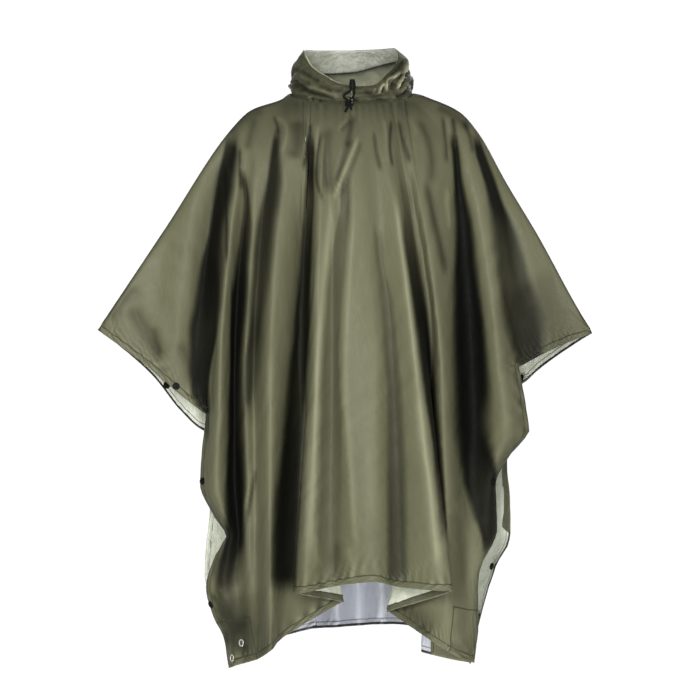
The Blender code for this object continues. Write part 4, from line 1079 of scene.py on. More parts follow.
    def crease(self):
        """Gathers below the neck's seam, fine ripples, and puckers along the hems, with painted shade in
        their troughs and painted highlight on their crests.
        """
        side = self.half.side
        from_middle = np.abs((self.top_x - NECK_CENTRE_X) / NECK_HALF_WIDTH)
        at_neck = np.clip(GATHER_FULL - from_middle ** 4 * GATHER_LOSS, 0, 1)
        places, wave = uneven_wave(GATHER_RUN, GATHER_PITCH, 3.0 + side)
        gather = np.interp(self.top_x + GATHER_RUN / 2, places, wave) * at_neck
        gather = gather * np.clip(self.down / GATHER_START, 0, 1) * np.exp(-self.down / GATHER_REACH)
        ripple = noise_field(self.across / RIPPLE_SIZE[0], self.down / RIPPLE_SIZE[1], np.array(2.0 * side))
        ripple += FINE_RIPPLE_SHARE * noise_field(
            self.across / FINE_RIPPLE_SIZE[0], self.down / FINE_RIPPLE_SIZE[1], np.array(9.0 + side))
        places, wave = uneven_wave(PUCKER_RUN, PUCKER_PITCH, 11.0 + side)
        near_hem = np.exp(-np.clip(self.edge - HEM_WIDTH, 0, None) / PUCKER_REACH)
        pucker = np.interp(self.across + self.down, places, wave) * near_hem
        pucker = pucker * np.clip(PUCKER_AT_EDGE + self.edge / HEM_WIDTH, 0, 1)
        calm = np.clip(self.edge / RIPPLE_CALM_EDGE, RIPPLE_CALM_LEAST, 1)
        calm = calm * np.clip(self.down / RIPPLE_CALM_TOP, 0, 1)
        away = gather * GATHER_HEIGHT + ripple * RIPPLE_HEIGHT * calm + pucker * PUCKER_HEIGHT
        self.points += self.normals * away[..., None]
        self.shade -= GATHER_PAINTED_SHADING * gather + PUCKER_PAINTED_SHADING * pucker + RIPPLE_PAINTED_SHADING * ripple
        self.shade = np.clip(self.shade, *SHADE_LIMITS)

    def nearest(self, x, z):
        """Index of the point nearest a place seen from the front."""
        away = (self.drawn_x - x) ** 2 + (self.drawn_z - z) ** 2
        return np.unravel_index(np.argmin(np.where(self.there, away, 1e9)), away.shape)


def grid_normals(points, side):
    """Outward directions of a grid that faces front, where side is below nought, or back."""
    along = np.gradient(points, axis=0)
    across = np.gradient(points, axis=1)
    normals = np.cross(along, across)
    lengths = np.linalg.norm(normals, axis=2, keepdims=True)
    normals = normals / np.maximum(lengths, 1e-9)
    return normals if side < 0 else -normals


def cloth_mesh(name, points, there, flip, attributes, uv):
    """Mesh of a grid of points in millimetres, with named values at its points and a map of the cloth."""
    count = points.shape[0] * points.shape[1]
    number = np.arange(count).reshape(points.shape[:2])
    corners = np.stack((number[:-1, :-1], number[1:, :-1], number[1:, 1:], number[:-1, 1:]), axis=-1)
    whole = there[:-1, :-1] & there[1:, :-1] & there[1:, 1:] & there[:-1, 1:]
    faces = corners[whole]
    if flip:
        faces = faces[:, ::-1]
    flat = points.reshape(-1, 3)
    short = np.linalg.norm(flat[faces] - flat[np.roll(faces, -1, axis=1)], axis=2) < 0.02
    used = np.unique(faces)
    renumber = np.full(count, -1)
    renumber[used] = np.arange(len(used))
    kept = []
    for face, collapsed in zip(renumber[faces].tolist(), short.tolist()):
        if any(collapsed):
            face = [face[i] for i in range(4) if not collapsed[i]]
        if len(face) >= 3:
            kept.append(face)
    mesh = bpy.data.meshes.new(name)
    mesh.from_pydata((flat[used] * MM).tolist(), [], kept)
    for key, values in attributes.items():
        layer = mesh.attributes.new(key, "FLOAT", "POINT")
        layer.data.foreach_set("value", values.reshape(-1)[used].astype(np.float32))
    loops = np.zeros(len(mesh.loops), np.int32)
    mesh.loops.foreach_get("vertex_index", loops)
    layer = mesh.uv_layers.new(name="cloth")
    flat_uv = uv.reshape(-1, 2)[used][loops]
    layer.data.foreach_set("uv", flat_uv.astype(np.float32).ravel())
    mesh.shade_smooth()
    return mesh


def add_piece(name, mesh, materials=()):
    thing = bpy.data.objects.new(name, mesh)
    bpy.context.scene.collection.objects.link(thing)
    for material in materials:
        mesh.materials.append(material)
    return thing


def select_alone(*things):
    """Selects these objects and nothing else, with the first as the active one."""
    bpy.ops.object.select_all(action="DESELECT")
    for thing in things:
        thing.select_set(True)
    if things:
        bpy.context.view_layer.objects.active = things[0]


def join(*things):
    select_alone(*things)
    bpy.ops.object.join()
    return things[0]


def apply_modifier(thing, name, kind, **settings):
    modifier = thing.modifiers.new(name, kind)
    for key, value in settings.items():
        setattr(modifier, key, value)
    select_alone(thing)
    bpy.ops.object.modifier_apply(modifier=modifier.name)
    thing.select_set(False)


def settle(piece, slot_name, *nodes):
    """Each piece stands for its nodes, whose imported parts it hides, and rides with the garment; the
    slot's name is not used.
    """
    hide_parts(*nodes)
    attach(piece, "root")


def add_sheet(node, points, laid, values, finishes, flip=False, there=None, wall=CLOTH_WALL, outwards=True,
              **facts):
    """Walled sheet of cloth that stands for a node. Laid holds how far each point lies along and down it.

    Values at its points are millimetres, but for the shares of shade. Outwards, the wall grows from the
    inner face out.
    """
    name = f"{node}_cloth"
    grid = points.shape[:2]
    values = {"patch": FAR, "shade": 0.0} | values
    attributes = {key: np.broadcast_to(value, grid) * (1.0 if key in SHARES else MM)
                  for key, value in values.items()}
    there = np.ones(grid, bool) if there is None else there
    mesh = cloth_mesh(name, points, there, flip, attributes, np.stack(laid, axis=-1) * MM)
    piece = add_piece(name, mesh, finishes)
    apply_modifier(piece, "wall", "SOLIDIFY", thickness=wall * MM, offset=1.0 if outwards else -1.0,
                   use_rim=True, material_offset=1, material_offset_rim=0)
    settle(piece, "coated_cloth", node)


class Finish:
    """A material and short ways to add its nodes."""

    def __init__(self, name, roughness, **constants):
        self.material = bpy.data.materials.new(name)
        self.material.use_nodes = True
        self.nodes = self.material.node_tree.nodes
        self.links = self.material.node_tree.links
        self.shader = self.nodes["Principled BSDF"]
        self.shader.inputs["Roughness"].default_value = roughness
        for key, value in constants.items():
            self.shader.inputs[key.replace("_", " ")].default_value = value

    def add(self, kind, inputs, **settings):
        node = self.nodes.new(kind)
        for key, value in settings.items():
            setattr(node, key, value)
        for key, value in inputs.items():
            if isinstance(value, bpy.types.NodeSocket):
                self.links.new(value, node.inputs[key])
            else:
                node.inputs[key].default_value = value
        return node

    def read(self, name):
        return self.add("ShaderNodeAttribute", {}, attribute_name=name).outputs["Fac"]

    def place(self, kind="Object"):
        if kind == "Object":
            return self.add("ShaderNodeTexCoord", {}).outputs["Object"]
        return self.add("ShaderNodeUVMap", {}, uv_map=kind).outputs["UV"]

    def stretched(self, vector, scale):
        return self.add("ShaderNodeMapping", {"Vector": vector, "Scale": scale}).outputs["Vector"]

    def noise(self, vector, scale, detail=3.0, roughness=0.55):
        return self.add("ShaderNodeTexNoise", {"Vector": vector, "Scale": scale, "Detail": detail,
                                               "Roughness": roughness}).outputs["Fac"]

    def sum(self, kind, first, second=0.0):
        return self.add("ShaderNodeMath", {0: first, 1: second}, operation=kind).outputs[0]

    def apart(self, first, second):
        return self.sum("ABSOLUTE", self.sum("SUBTRACT", first, second))

    def light_left(self, shade):
        """Light that cloth gives back where it is to look this share darker, as the eye takes it."""
        return self.sum("POWER", self.sum("SUBTRACT", 1.0, shade), EYE_POWER)

    def band(self, value, low, high, start=0.0, end=1.0):
        """Value brought from low and high to start and end, smoothly, and held there."""
        return self.add("ShaderNodeMapRange", {"Value": value, "From Min": low, "From Max": high,
                                               "To Min": start, "To Max": end},
                        interpolation_type="SMOOTHSTEP").outputs["Result"]

    def blend(self, share, *colours):
        """First colour, turned into the second by a share. Each is a node's output or a plain colour."""
        first, second = (rgba(colour) if isinstance(colour, tuple) else colour for colour in colours)
        inputs = {"Factor": share, 6: first, 7: second}
        return self.add("ShaderNodeMix", inputs, data_type="RGBA").outputs[2]

    def sew(self, colour, groove, groove_share, groove_colour):
        return self.blend(self.sum("MULTIPLY", groove, groove_share), colour, groove_colour)

    def bump(self, height, distance, strength=1.0, **below):
        return self.add("ShaderNodeBump", {"Height": height, "Distance": distance, "Strength": strength,
                                           **below}).outputs["Normal"]

    def finish(self, colour=None, roughness=None, normal=None):
        for key, value in (("Base Color", colour), ("Roughness", roughness), ("Normal", normal)):
            if value is not None:
                self.links.new(value, self.shader.inputs[key])
        return self.material


def rgba(colour):
    return (*colour, 1.0)


# Colours of the cloth.
OLIVE = (0.150, 0.151, 0.088)
OLIVE_WORN = (0.172, 0.171, 0.103)
# Painted highlight on crests of folds, and painted shade deep down in them.
OLIVE_PAINTED_HIGHLIGHT = (0.480, 0.480, 0.310)
OLIVE_IN_PAINTED_SHADE = (0.0030, 0.0030, 0.0022)
OLIVE_SEAM = (0.020, 0.020, 0.012)
OLIVE_THREAD = (0.105, 0.106, 0.062)
# Painted shade on the inner face.
INNER_IN_PAINTED_SHADE = (0.016, 0.017, 0.011)
INNER_SEAM = (0.05, 0.05, 0.035)
# Turning of the hem on the inner face: near black where narrow, painted as shade, and olive where wide.
HEM_NARROW_IN_PAINTED_SHADE = (0.012, 0.012, 0.008)
HEM_WIDE = (0.120, 0.121, 0.070)
# A tone that is to look this share darker takes away the same share to this power of the light.
EYE_POWER = 2.2
# Share of a painted highlight's extra light that goes into its pale colour.
PAINTED_HIGHLIGHT_SHARE = 0.5
# Scale of the weave's waves. In metres: its depth, the seam's groove and thread from their middle, and a
# stitch's length.
WEAVE_SCALE = 1000 / 0.7 / 20
WEAVE_DEPTH = 0.00006
GROOVE = (0.0004, 0.0019)
THREAD = (0.0003, 0.0007)
STITCH = 0.0034
STITCH_GAP = (0.26, 0.36)
SEAM_DEPTH = 0.0005
# Middle of the back inner face's painted bluish shade, and how far from it that shade begins to end and
# ends.
PAINTED_SHADE_TINT_X = 0.03
PAINTED_SHADE_TINT_FADE = (0.13, 0.22)
TURNING_EDGE = 0.0006
LEAST_TURNING = 0.0005


def seam_line(finish):
    """Shares of groove and thread: dashes along the hem's seam and the corner patch's edge."""
    away = finish.sum("MINIMUM", finish.apart(finish.read("edge"), HEM_WIDTH * MM),
                      finish.sum("ABSOLUTE", finish.read("patch")))
    groove = finish.band(away, *GROOVE, 1.0, 0.0)
    run = finish.sum("FRACT", finish.sum("DIVIDE", finish.read("run"), STITCH))
    dash = finish.band(finish.apart(run, 0.5), *STITCH_GAP, 1.0, 0.0)
    return groove, finish.sum("MULTIPLY", dash, finish.band(away, *THREAD, 1.0, 0.0))


def cloth_bump(finish, groove, thread, crinkle_scale, crinkle_depth):
    """Crinkles of coated cloth over its plain weave, with the seam drawn into it."""
    crinkle = finish.noise(finish.stretched(finish.place(), (1.0, 1.0, 0.55)), crinkle_scale, 4.0, 0.62)
    bumped = finish.bump(crinkle, crinkle_depth)
    wave = {"Vector": finish.place("cloth"), "Scale": WEAVE_SCALE, "Distortion": 0.4}
    warp, weft = (finish.add("ShaderNodeTexWave", wave, bands_direction=way).outputs["Fac"] for way in "XY")
    bumped = finish.bump(finish.sum("MULTIPLY", warp, weft), WEAVE_DEPTH, 0.6, Normal=bumped)
    sewn = finish.sum("SUBTRACT", finish.sum("MULTIPLY", thread, 0.7), groove)
    return finish.bump(sewn, SEAM_DEPTH, 0.9, Normal=bumped)


def outer_cloth():
    """Olive coated cloth, with painted shade down in the folds and a painted highlight where a fold stands
    out.
    """
    finish = Finish("coated_cloth_outer", 0.42, Specular_IOR_Level=0.14)
    groove, thread = seam_line(finish)
    shade = finish.read("shade")
    mottle = finish.noise(finish.stretched(finish.place(), (1.0, 1.0, 0.3)), 9.0)
    colour = finish.blend(finish.band(mottle, 0.35, 0.65), OLIVE, OLIVE_WORN)
    light = finish.light_left(shade)
    painted_highlight = finish.sum("MULTIPLY", finish.sum("SUBTRACT", light, 1.0), PAINTED_HIGHLIGHT_SHARE)
    colour = finish.blend(finish.sum("MAXIMUM", painted_highlight, 0.0), colour, OLIVE_PAINTED_HIGHLIGHT)
    dark = finish.sum("SUBTRACT", 1.0, light)
    colour = finish.blend(finish.sum("MAXIMUM", dark, 0.0), colour, OLIVE_IN_PAINTED_SHADE)
    colour = finish.sew(colour, groove, 0.65, OLIVE_SEAM)
    colour = finish.sew(colour, thread, 0.8, OLIVE_THREAD)
    shine = finish.band(finish.noise(finish.place(), 60.0), 0.2, 0.8, 0.38, 0.50)
    roughness = finish.sum("ADD", shine, finish.band(shade, 0.1, 0.9, 0.0, 0.25))
    return finish.finish(colour, roughness, cloth_bump(finish, groove, thread, 55.0, 0.0016))


def inner_cloth(name, pale, deep, painted_shade_tint=None):
    """Pale coating of the inner face, with painted shade; the hem's turning shows the outer colour."""
    finish = Finish(name, 0.36, Specular_IOR_Level=0.5, Coat_Weight=0.15, Coat_Roughness=0.3)
    groove, thread = seam_line(finish)
    place = finish.place()
    colour = finish.blend(finish.band(finish.noise(place, 38.0, 5.0, 0.65), 0.32, 0.62), deep, pale)
    # A tint given here is painted bluish shade about the middle of the back's inner face.
    if painted_shade_tint is not None:
        across = finish.add("ShaderNodeSeparateXYZ", {"Vector": place}).outputs["X"]
        colour = finish.blend(finish.band(finish.apart(across, PAINTED_SHADE_TINT_X), *PAINTED_SHADE_TINT_FADE, 1.0, 0.0), colour, painted_shade_tint)
    # Painted shade on the inner face, as its inside values give it.
    dark = finish.sum("SUBTRACT", 1.0, finish.light_left(finish.read("inside")))
    colour = finish.blend(dark, colour, INNER_IN_PAINTED_SHADE)
    turning = finish.read("turning")
    past = finish.sum("SUBTRACT", finish.read("edge"), turning)
    turned = finish.sum("MULTIPLY", finish.band(past, 0.0, TURNING_EDGE, 1.0, 0.0),
                        finish.sum("GREATER_THAN", turning, LEAST_TURNING))
    # The turning's olive is painted near black as shade where it is narrow.
    wide = finish.band(turning, NARROW_TURNING * 1.2 * MM, HEM_WIDTH * MM)
    colour = finish.blend(turned, colour, finish.blend(wide, HEM_NARROW_IN_PAINTED_SHADE, HEM_WIDE))
    colour = finish.sew(colour, groove, 0.6, INNER_SEAM)
    roughness = finish.band(finish.noise(place, 90.0), 0.2, 0.8, 0.30, 0.46)
    return finish.finish(colour, roughness, cloth_bump(finish, groove, thread, 75.0, 0.0035))


def speckled(name, roughness, colours, scales, wander=None, relief=None, stretch=None, **constants):
    """Finish whose colour, roughness and fine relief each wander at a scale of their own."""
    finish = Finish(name, roughness, **constants)
    place = finish.stretched(finish.place("cloth"), stretch) if stretch else finish.place()
    tone, gloss, height = (finish.noise(place, scale) for scale in scales)
    return finish.finish(
        finish.blend(tone, *colours),
        finish.band(gloss, 0.3, 0.7, *wander) if wander else None,
        finish.bump(height, relief) if relief else None)


OUTER = outer_cloth()
INNER = inner_cloth("coated_cloth_inner", (0.85, 0.88, 0.74), (0.66, 0.69, 0.56))
HOOD_INNER = inner_cloth("coated_cloth_inner_hood", (0.42, 0.43, 0.31), (0.33, 0.34, 0.24))
# The back's inner face, with painted bluish shade about its middle.
BACK_INNER = inner_cloth("coated_cloth_inner_back", (0.82, 0.85, 0.72), (0.70, 0.73, 0.61),
                         (0.56, 0.58, 0.64))
# The strip's coating: its pale is raised above the inner face's as painted light on the strip.
STRIP = inner_cloth("coated_cloth_inner_strip", (0.94, 0.96, 0.85), (0.60, 0.63, 0.50))
BLACK = speckled("black_plastic", 0.45, ((0.004, 0.005, 0.0045), (0.009, 0.011, 0.010)),
                 (300.0, 900.0, 1400.0), (0.4, 0.55), 0.00005, Specular_IOR_Level=0.1)
BRAID = speckled("black_cord", 0.75, ((0.003, 0.004, 0.0035), (0.010, 0.012, 0.010)),
                 (1.0, 1.0, 1.0), (0.5, 0.75), 0.0001, (300.0, 1400.0, 1.0), Specular_IOR_Level=0.07)
STEEL = speckled("nickelled_steel", 0.35, ((0.66, 0.66, 0.62), (0.88, 0.88, 0.83)),
                 (500.0, 500.0, 500.0), (0.3, 0.45), 0.00004, Metallic=0.55)
# What shows through an eyelet: a disc of cloth colour, painted darker as the shade in its hole.
BEHIND = speckled("cloth_behind", 0.7, ((0.070, 0.071, 0.045), (0.120, 0.121, 0.080)),
                  (400.0, 400.0, 400.0), Specular_IOR_Level=0.2)


def patch_distance(cloth):
    """Distance past the nearest corner patch's edge; it is below nought inside the patch."""
    start = cloth.rows.searchsorted(PATCH_FIRST_ROW)
    from_top = np.where(cloth.rows[:, None] < 1, FAR, cloth.down[start][None, :] - cloth.down)
    return np.maximum(cloth.from_side - PATCH_WIDTH, from_top)


def turning_width(cloth):
    """Width of the hem's turning on the inner face: narrow on the back, none down its left edge."""
    if cloth.half.side < 0:
        return HEM_WIDTH + FRONT_TURNING_EXTRA
    width = np.full(cloth.edge.shape, NARROW_TURNING)
    at_side = cloth.from_side < TURN_BACK_WIDTH
    width[at_side & (cloth.drawn_x < 0) & (cloth.edge == cloth.from_side)] = 0.0
    width[at_side & (cloth.drawn_x > 0) & (cloth.drawn_z > TURN_BACK_END)] = TURN_BACK_WIDTH
    return width


def make_half(node, half, bands, creases, inner, length):
    cloth = Cloth(half, bands, creases)
    cloth.patch = patch_distance(cloth)
    cloth.laid = np.stack((cloth.across - cloth.across.mean(axis=1, keepdims=True), cloth.down))
    values = {"edge": cloth.edge, "run": cloth.across + cloth.down, "shade": cloth.shade,
              "patch": cloth.patch, "turning": turning_width(cloth)}
    add_sheet(node, cloth.points, cloth.laid, values, (OUTER, inner), half.side > 0, cloth.there,
              flat=(1.43, length), held="draped")
    return cloth


def make_patch(key, cloth, from_left):
    """Square of the body cloth sewn on the inner face of a corner."""
    rows = np.nonzero(cloth.rows >= PATCH_FIRST_ROW)[0]
    body = np.nonzero(cloth.body)[0]
    from_edge = np.abs(cloth.across[-1, body] - cloth.across[-1, body[0 if from_left else -1]])
    part = np.ix_(rows, body[from_edge <= PATCH_WIDTH])
    values = {"edge": HEM_WIDTH - PATCH_SEAM - cloth.patch[part], "run": (cloth.across + cloth.down)[part]}
    points = cloth.points[part] - cloth.normals[part] * PATCH_GAP
    laid = [lengths[part] for lengths in cloth.laid]
    add_sheet(f"corner_patch_{key}_{'left' if from_left else 'right'}", points, laid, values,
              (OUTER, OUTER), cloth.half.side > 0, wall=PATCH_WALL, outwards=False,
              flat=(0.105, 0.09), held="draped", rests_on=[f"{key}_cloth"])


def hood_surface(angles, rises):
    """Inner face of the hood, and the way out from the neck, at angles round it and rises to its brim."""
    angle = angles[None, :]
    rise = rises[:, None]
    cosine = np.cos(angle)
    sine = np.sin(angle)
    from_front = angle + math.pi / 2
    behind = np.maximum(0.0, sine) ** HOOD_BEHIND_POWER
    hanging = np.maximum(0.0, sine) ** HOOD_HANGING_POWER
    front = np.maximum(0.0, -sine) ** HOOD_FRONT_POWER
    out = np.stack((cosine, sine, np.zeros_like(cosine)), axis=-1)
    up = np.array((0.0, 0.0, 1.0))
    neck_z = mix(NECK_SIDE_Z, np.where(sine > 0, NECK_BACK_Z, NECK_FRONT_Z), np.abs(sine))
    base = np.stack((NECK_CENTRE_X + (NECK_HALF_WIDTH - HOOD_BASE_INSET) * cosine,
                     NECK_CENTRE_Y + (NECK_HALF_DEPTH - HOOD_BASE_INSET) * sine,
                     neck_z + HOOD_BASE_LIFT), axis=-1)
    degrees = np.degrees(from_front)
    degrees = np.where(degrees > 180, degrees - 360, degrees)
    brim_z = np.array([[read_table(BRIM_LINE, turn)[0] for turn in degrees[0]]])
    depth = np.where(sine > 0, BRIM_BACK_DEPTH, BRIM_FRONT_DEPTH)
    brim = np.stack((BRIM_CENTRE_X + BRIM_HALF_WIDTH * cosine, NECK_CENTRE_Y + depth * sine, brim_z),
                    axis=-1)
    reach = [(at_side * (1 - behind - front) + in_front * front + at_back * behind)[..., None]
             for at_side, in_front, at_back in zip(HOOD_SIDE, HOOD_FRONT, HOOD_BEHIND)]
    low_handle = base + out * reach[0] + up * reach[1]
    high_handle = brim + out * reach[2] + up * reach[3]
    part = rise[..., None]
    left = 1 - part
    points = (base * left ** 3 + low_handle * (3 * left * left * part)
              + high_handle * (3 * left * part * part) + brim * part ** 3)
    points[..., 2] -= POUCH_DROP * hanging * np.sin(math.pi * rise ** POUCH_SKEW) ** 2
    lopsided = cosine * cosine * np.sin(2 * angle + 0.6)
    turns = SCRUNCH_FOLDS + SCRUNCH_DRIFT * lopsided
    scrunch = np.sin(2 * math.pi * turns * rise + SCRUNCH_SWAY * np.cos(3 * from_front))
    gather = np.cos(HOOD_GATHER_COUNT * from_front + HOOD_GATHER_DRIFT * lopsided * cosine)
    bulk = scrunch * SCRUNCH_DEPTH * mix(1.0, SCRUNCH_IN_FRONT, front) + gather * HOOD_GATHER_DEPTH
    flank = np.abs(cosine) ** FLANK_POWER
    left_out, right_out = (np.array([read_table(table, value) for value in rises])
                           for table in (HOOD_FLANK_LEFT, HOOD_FLANK_RIGHT))
    sides = np.where(cosine < 0, left_out, right_out)
    bulk = bulk * np.sin(math.pi * rise) * (1 - flank) + sides * flank
    return points + out * bulk[..., None], out


def crumple(points, size, height, seed):
    """Noise field for the crinkles of scrunched cloth: ridged, sharp on their crests."""
    x, y, z = (points[..., axis] / size for axis in range(3))
    first = noise_field(x + seed, y, z * 1.4)
    second = noise_field(x * 2.1, y * 2.1 + seed, z * 2.6)
    return height * (0.5 - 1.6 * np.abs(first) + 0.4 * second)


def hood_folds(angles, rises):
    """Height and painted tone of the long folds round the hood: painted shade above nought, painted
    highlight below.
    """
    turns = (np.degrees(angles) + 270.0) % 360.0 - 180.0
    turns = np.where((turns < -179.9) & (np.cos(angles) >= 0), 180.0, turns)
    shape = (len(rises), len(angles))
    across = np.broadcast_to(turns[None, :] * FOLD_DEGREE, shape)
    up = np.broadcast_to(rises[:, None] * 100 * FOLD_RISE, shape)
    lines = [(half_width, height, tone, [(turn * FOLD_DEGREE, rise * FOLD_RISE) for turn, rise in line])
             for half_width, height, tone, line in HOOD_FOLDS]
    return crease_fields(across, up, lines, held_at=180 * FOLD_DEGREE)


def hood_cloth(angles, rises):
    """Points of the hood with its creases and folds, their painted shade and highlight, its crinkle, and
    what faces front.
    """
    drawn, out = hood_surface(angles, rises)
    if rises[0] == 0:
        drawn[0, :, 2] -= SEAM_TUCK
    in_front = np.clip(0.6 - 3 * np.sin(angles)[None, :], 0, 1)
    height, tone = crease_fields(drawn[..., 0], drawn[..., 2], HOOD_CREASES)
    fold, fold_painted_tone = hood_folds(angles, rises)
    crinkle = crumple(drawn, *HOOD_CRINKLE) * mix(HOOD_CALM, 1.0, in_front)
    hold = np.clip(np.minimum(rises / HOOD_HOLD_BASE, (1 - rises) / HOOD_HOLD_BRIM), 0, 1)[:, None]
    away = (height * in_front + fold + crinkle) * hold
    return true_place(drawn + out * away[..., None]), tone * in_front + fold_painted_tone, crinkle, in_front


def make_hood_half(node, first_angle, last_angle, flip):
    angles = np.linspace(first_angle, last_angle, HOOD_COLUMNS)
    points, tone, crinkle, in_front = hood_cloth(angles, np.linspace(0.0, 1.0, HOOD_ROWS))
    up, around = grid_lengths(points)
    edge = up[-1][None, :] - up
    # Painted shade over the hood, lighter on crinkle crests and darker in their hollows.
    base = mix(HOOD_SHADE_BEHIND, HOOD_SHADE, in_front)
    shade = np.clip(tone - HOOD_CRINKLE_PAINTED_SHADING * crinkle + base, *HOOD_SHADE_LIMITS)
    # Painted highlight along the brim's edge at the left front.
    left_front = (np.clip(-np.cos(angles) * 3, 0, 1) * np.clip(-np.sin(angles) * 2, 0, 1))[None, :]
    shade = np.where(edge < BRIM_PAINTED_HIGHLIGHT, mix(shade, HOOD_SHADE_LIMITS[0], left_front), shade)
    # Painted shadow on the inner face, below the strip and at the right.
    below_strip = np.clip(edge - strip_width(angles)[None, :], 0, None)
    right_side = sum(smooth_step(np.cos(angles), *step) for step in HOOD_RIGHT_STEPS)[None, :]
    inside = STRIP_SHADOW * np.exp(-below_strip / STRIP_SHADOW_REACH) + HOOD_RIGHT_SHADOW * right_side
    values = {"edge": edge + HEM_WIDTH + 2, "run": around, "shade": shade,
              "inside": np.clip(inside, 0, HOOD_SHADE_LIMITS[1])}
    add_sheet(node, points, (around, up), values, (OUTER, HOOD_INNER), flip,
              flat=(0.30, 0.20), held="gathered")


def strip_width(angles):
    """Width of the drawstring's tunnel round the brim: narrow at the front, wide behind."""
    cosine, sine = np.cos(angles), np.sin(angles)
    drawn_up = STRIP_LIFT * smooth_step(cosine, *STRIP_LIFT_ACROSS) * smooth_step(sine, *STRIP_LIFT_ALONG)
    sway = 1 + STRIP_SWAY * np.sin(STRIP_SWAYS * angles + 1.0)
    return mix(STRIP_WIDTH_FRONT, STRIP_WIDTH_BEHIND * (1 - drawn_up) * sway,
               smooth_step(sine, *STRIP_WIDENING))


def strip_points(angles):
    """Points on the hood's face from the strip's lower edge up to the brim, in even rows."""
    surface = hood_cloth(angles, np.linspace(STRIP_START, 1.0, STRIP_SAMPLES))[0]
    up = grid_lengths(surface)[0]
    wanted = strip_width(angles)[None, :] * np.linspace(1.0, 0.0, TUNNEL_ROWS)[:, None]
    columns = [[np.interp(up[-1, column] - wanted[:, column], up[:, column], surface[:, column, axis])
                for axis in range(3)] for column in range(len(angles))]
    return np.array(columns).transpose(2, 0, 1)


def make_tunnel():
    """Strip turned in round the hood's brim to hold the drawstring, open where the string comes out."""
    throat = TUNNEL_THROAT / BRIM_FRONT_DEPTH
    angles = np.linspace(-math.pi / 2 + throat, math.pi * 3 / 2 - throat, 2 * HOOD_COLUMNS)
    points = strip_points(angles)
    own = crumple(points, *TUNNEL_CRINKLE)
    rows = np.linspace(0.0, 1.0, TUNNEL_ROWS)[:, None]
    puff = np.clip(TUNNEL_PUFF[0] - own, 0, TUNNEL_PUFF[1])
    inward = TUNNEL_GAP + puff * np.clip(np.minimum(rows, 1 - rows) / TUNNEL_PUFF_START, 0, 1)
    points = points - grid_normals(points, 1) * inward[..., None]
    up, around = grid_lengths(points)
    # Painted shadow on the strip: at its lower edge, to its right and in its crinkles, less a little
    # painted light.
    to_right = smooth_step(np.cos(angles), *TUNNEL_RIGHT_STEP)[None, :]
    inside = (TUNNEL_SHADOW * np.exp(-up / TUNNEL_SHADOW_REACH) + TUNNEL_RIGHT_SHADOW * to_right
              + TUNNEL_CRINKLE_SHADOW * own - TUNNEL_LIGHTEN)
    values = {"edge": up + HEM_WIDTH - TUNNEL_SEAM, "run": around,
              "inside": np.clip(inside, 0, HOOD_SHADE_LIMITS[1])}
    add_sheet("brim_tunnel", points, (around, up), values, (STRIP, STRIP), wall=PATCH_WALL, outwards=False,
              flat=(0.66, 0.03), held="gathered", rests_on=["hood_left_cloth", "hood_right_cloth"])


def pick_faces(thing, chosen):
    """Selects in edit mode the faces that a test on each face allows."""
    shape = bmesh.from_edit_mesh(thing.data)
    for face in shape.faces:
        face.select_set(False)
    for face in shape.faces:
        if chosen(face):
            face.select_set(True)
    shape.select_flush(True)
    bmesh.update_edit_mesh(thing.data)


def at_top(face):
    return face.normal.z > 0.9


def step_faces(inset, rise):
    """Draws the picked faces in, then up."""
    if inset:
        bpy.ops.mesh.inset(thickness=inset * MM)
    bpy.ops.mesh.extrude_region_move(TRANSFORM_OT_translate={"value": (0.0, 0.0, rise * MM)})


def add_cylinder(radius, depth, place, vertices=40):
    """Upright cylinder on a place, with its object at the origin."""
    x, y, z = (value * MM for value in place)
    bpy.ops.object.select_all(action="DESELECT")
    bpy.ops.mesh.primitive_cylinder_add(vertices=vertices, radius=radius * MM, depth=depth * MM,
                                        location=(x, y, z + depth / 2 * MM))
    bpy.ops.object.transform_apply(location=True)
    return bpy.context.object


def add_torus(radius, thickness, sides):
    bpy.ops.object.select_all(action="DESELECT")
    bpy.ops.mesh.primitive_torus_add(major_segments=44, minor_segments=sides, major_radius=radius,
                                     minor_radius=thickness)
    bpy.ops.object.mode_set(mode="EDIT")
    bpy.ops.mesh.select_all(action="SELECT")
    return bpy.context.object


def soften(thing, width, finish):
    """Rounds a hard piece's edges and gives it its finish."""
    bpy.ops.object.mode_set(mode="OBJECT")
    apply_modifier(thing, "soften", "BEVEL", width=width * MM, segments=2, limit_method="ANGLE",
                   angle_limit=math.radians(30.0))
    thing.select_set(True)
    bpy.ops.object.shade_smooth_by_angle(angle=math.radians(40.0))
    thing.data.materials.append(finish)
    return thing


def model_stud():
    """Cap of a press stud: a skirt, a rolled shoulder and a shallow dish in the middle."""
    thing = add_cylinder(STUD_RADIUS, STUD_SKIRT, (0.0, 0.0, 0.0))
    bpy.ops.object.mode_set(mode="EDIT")
    pick_faces(thing, at_top)
    for inset, rise in STUD_STEPS:
        step_faces(inset, rise)
    return soften(thing, 0.3, BLACK)


def model_eyelet():
    """Rolled ring of an eyelet with its flange on the cloth, and what shows through its hole."""
    ring = add_torus((EYELET_INNER + EYELET_OUTER) / 2 * MM, (EYELET_OUTER - EYELET_INNER) / 2 * MM, 14)
    bpy.ops.transform.resize(value=(1.0, 1.0, EYELET_SQUASH), center_override=(0.0, 0.0, 0.0))
    bpy.ops.transform.translate(value=(0.0, 0.0, 1.0 * MM))
    bpy.ops.object.mode_set(mode="OBJECT")
    bpy.ops.object.shade_smooth()
    ring.data.materials.append(STEEL)
    hole = add_cylinder(EYELET_INNER + EYELET_HOLE_EXTRA, 0.5, (0.0, 0.0, 0.05), 36)
    hole.data.materials.append(BEHIND)
    return join(ring, hole)


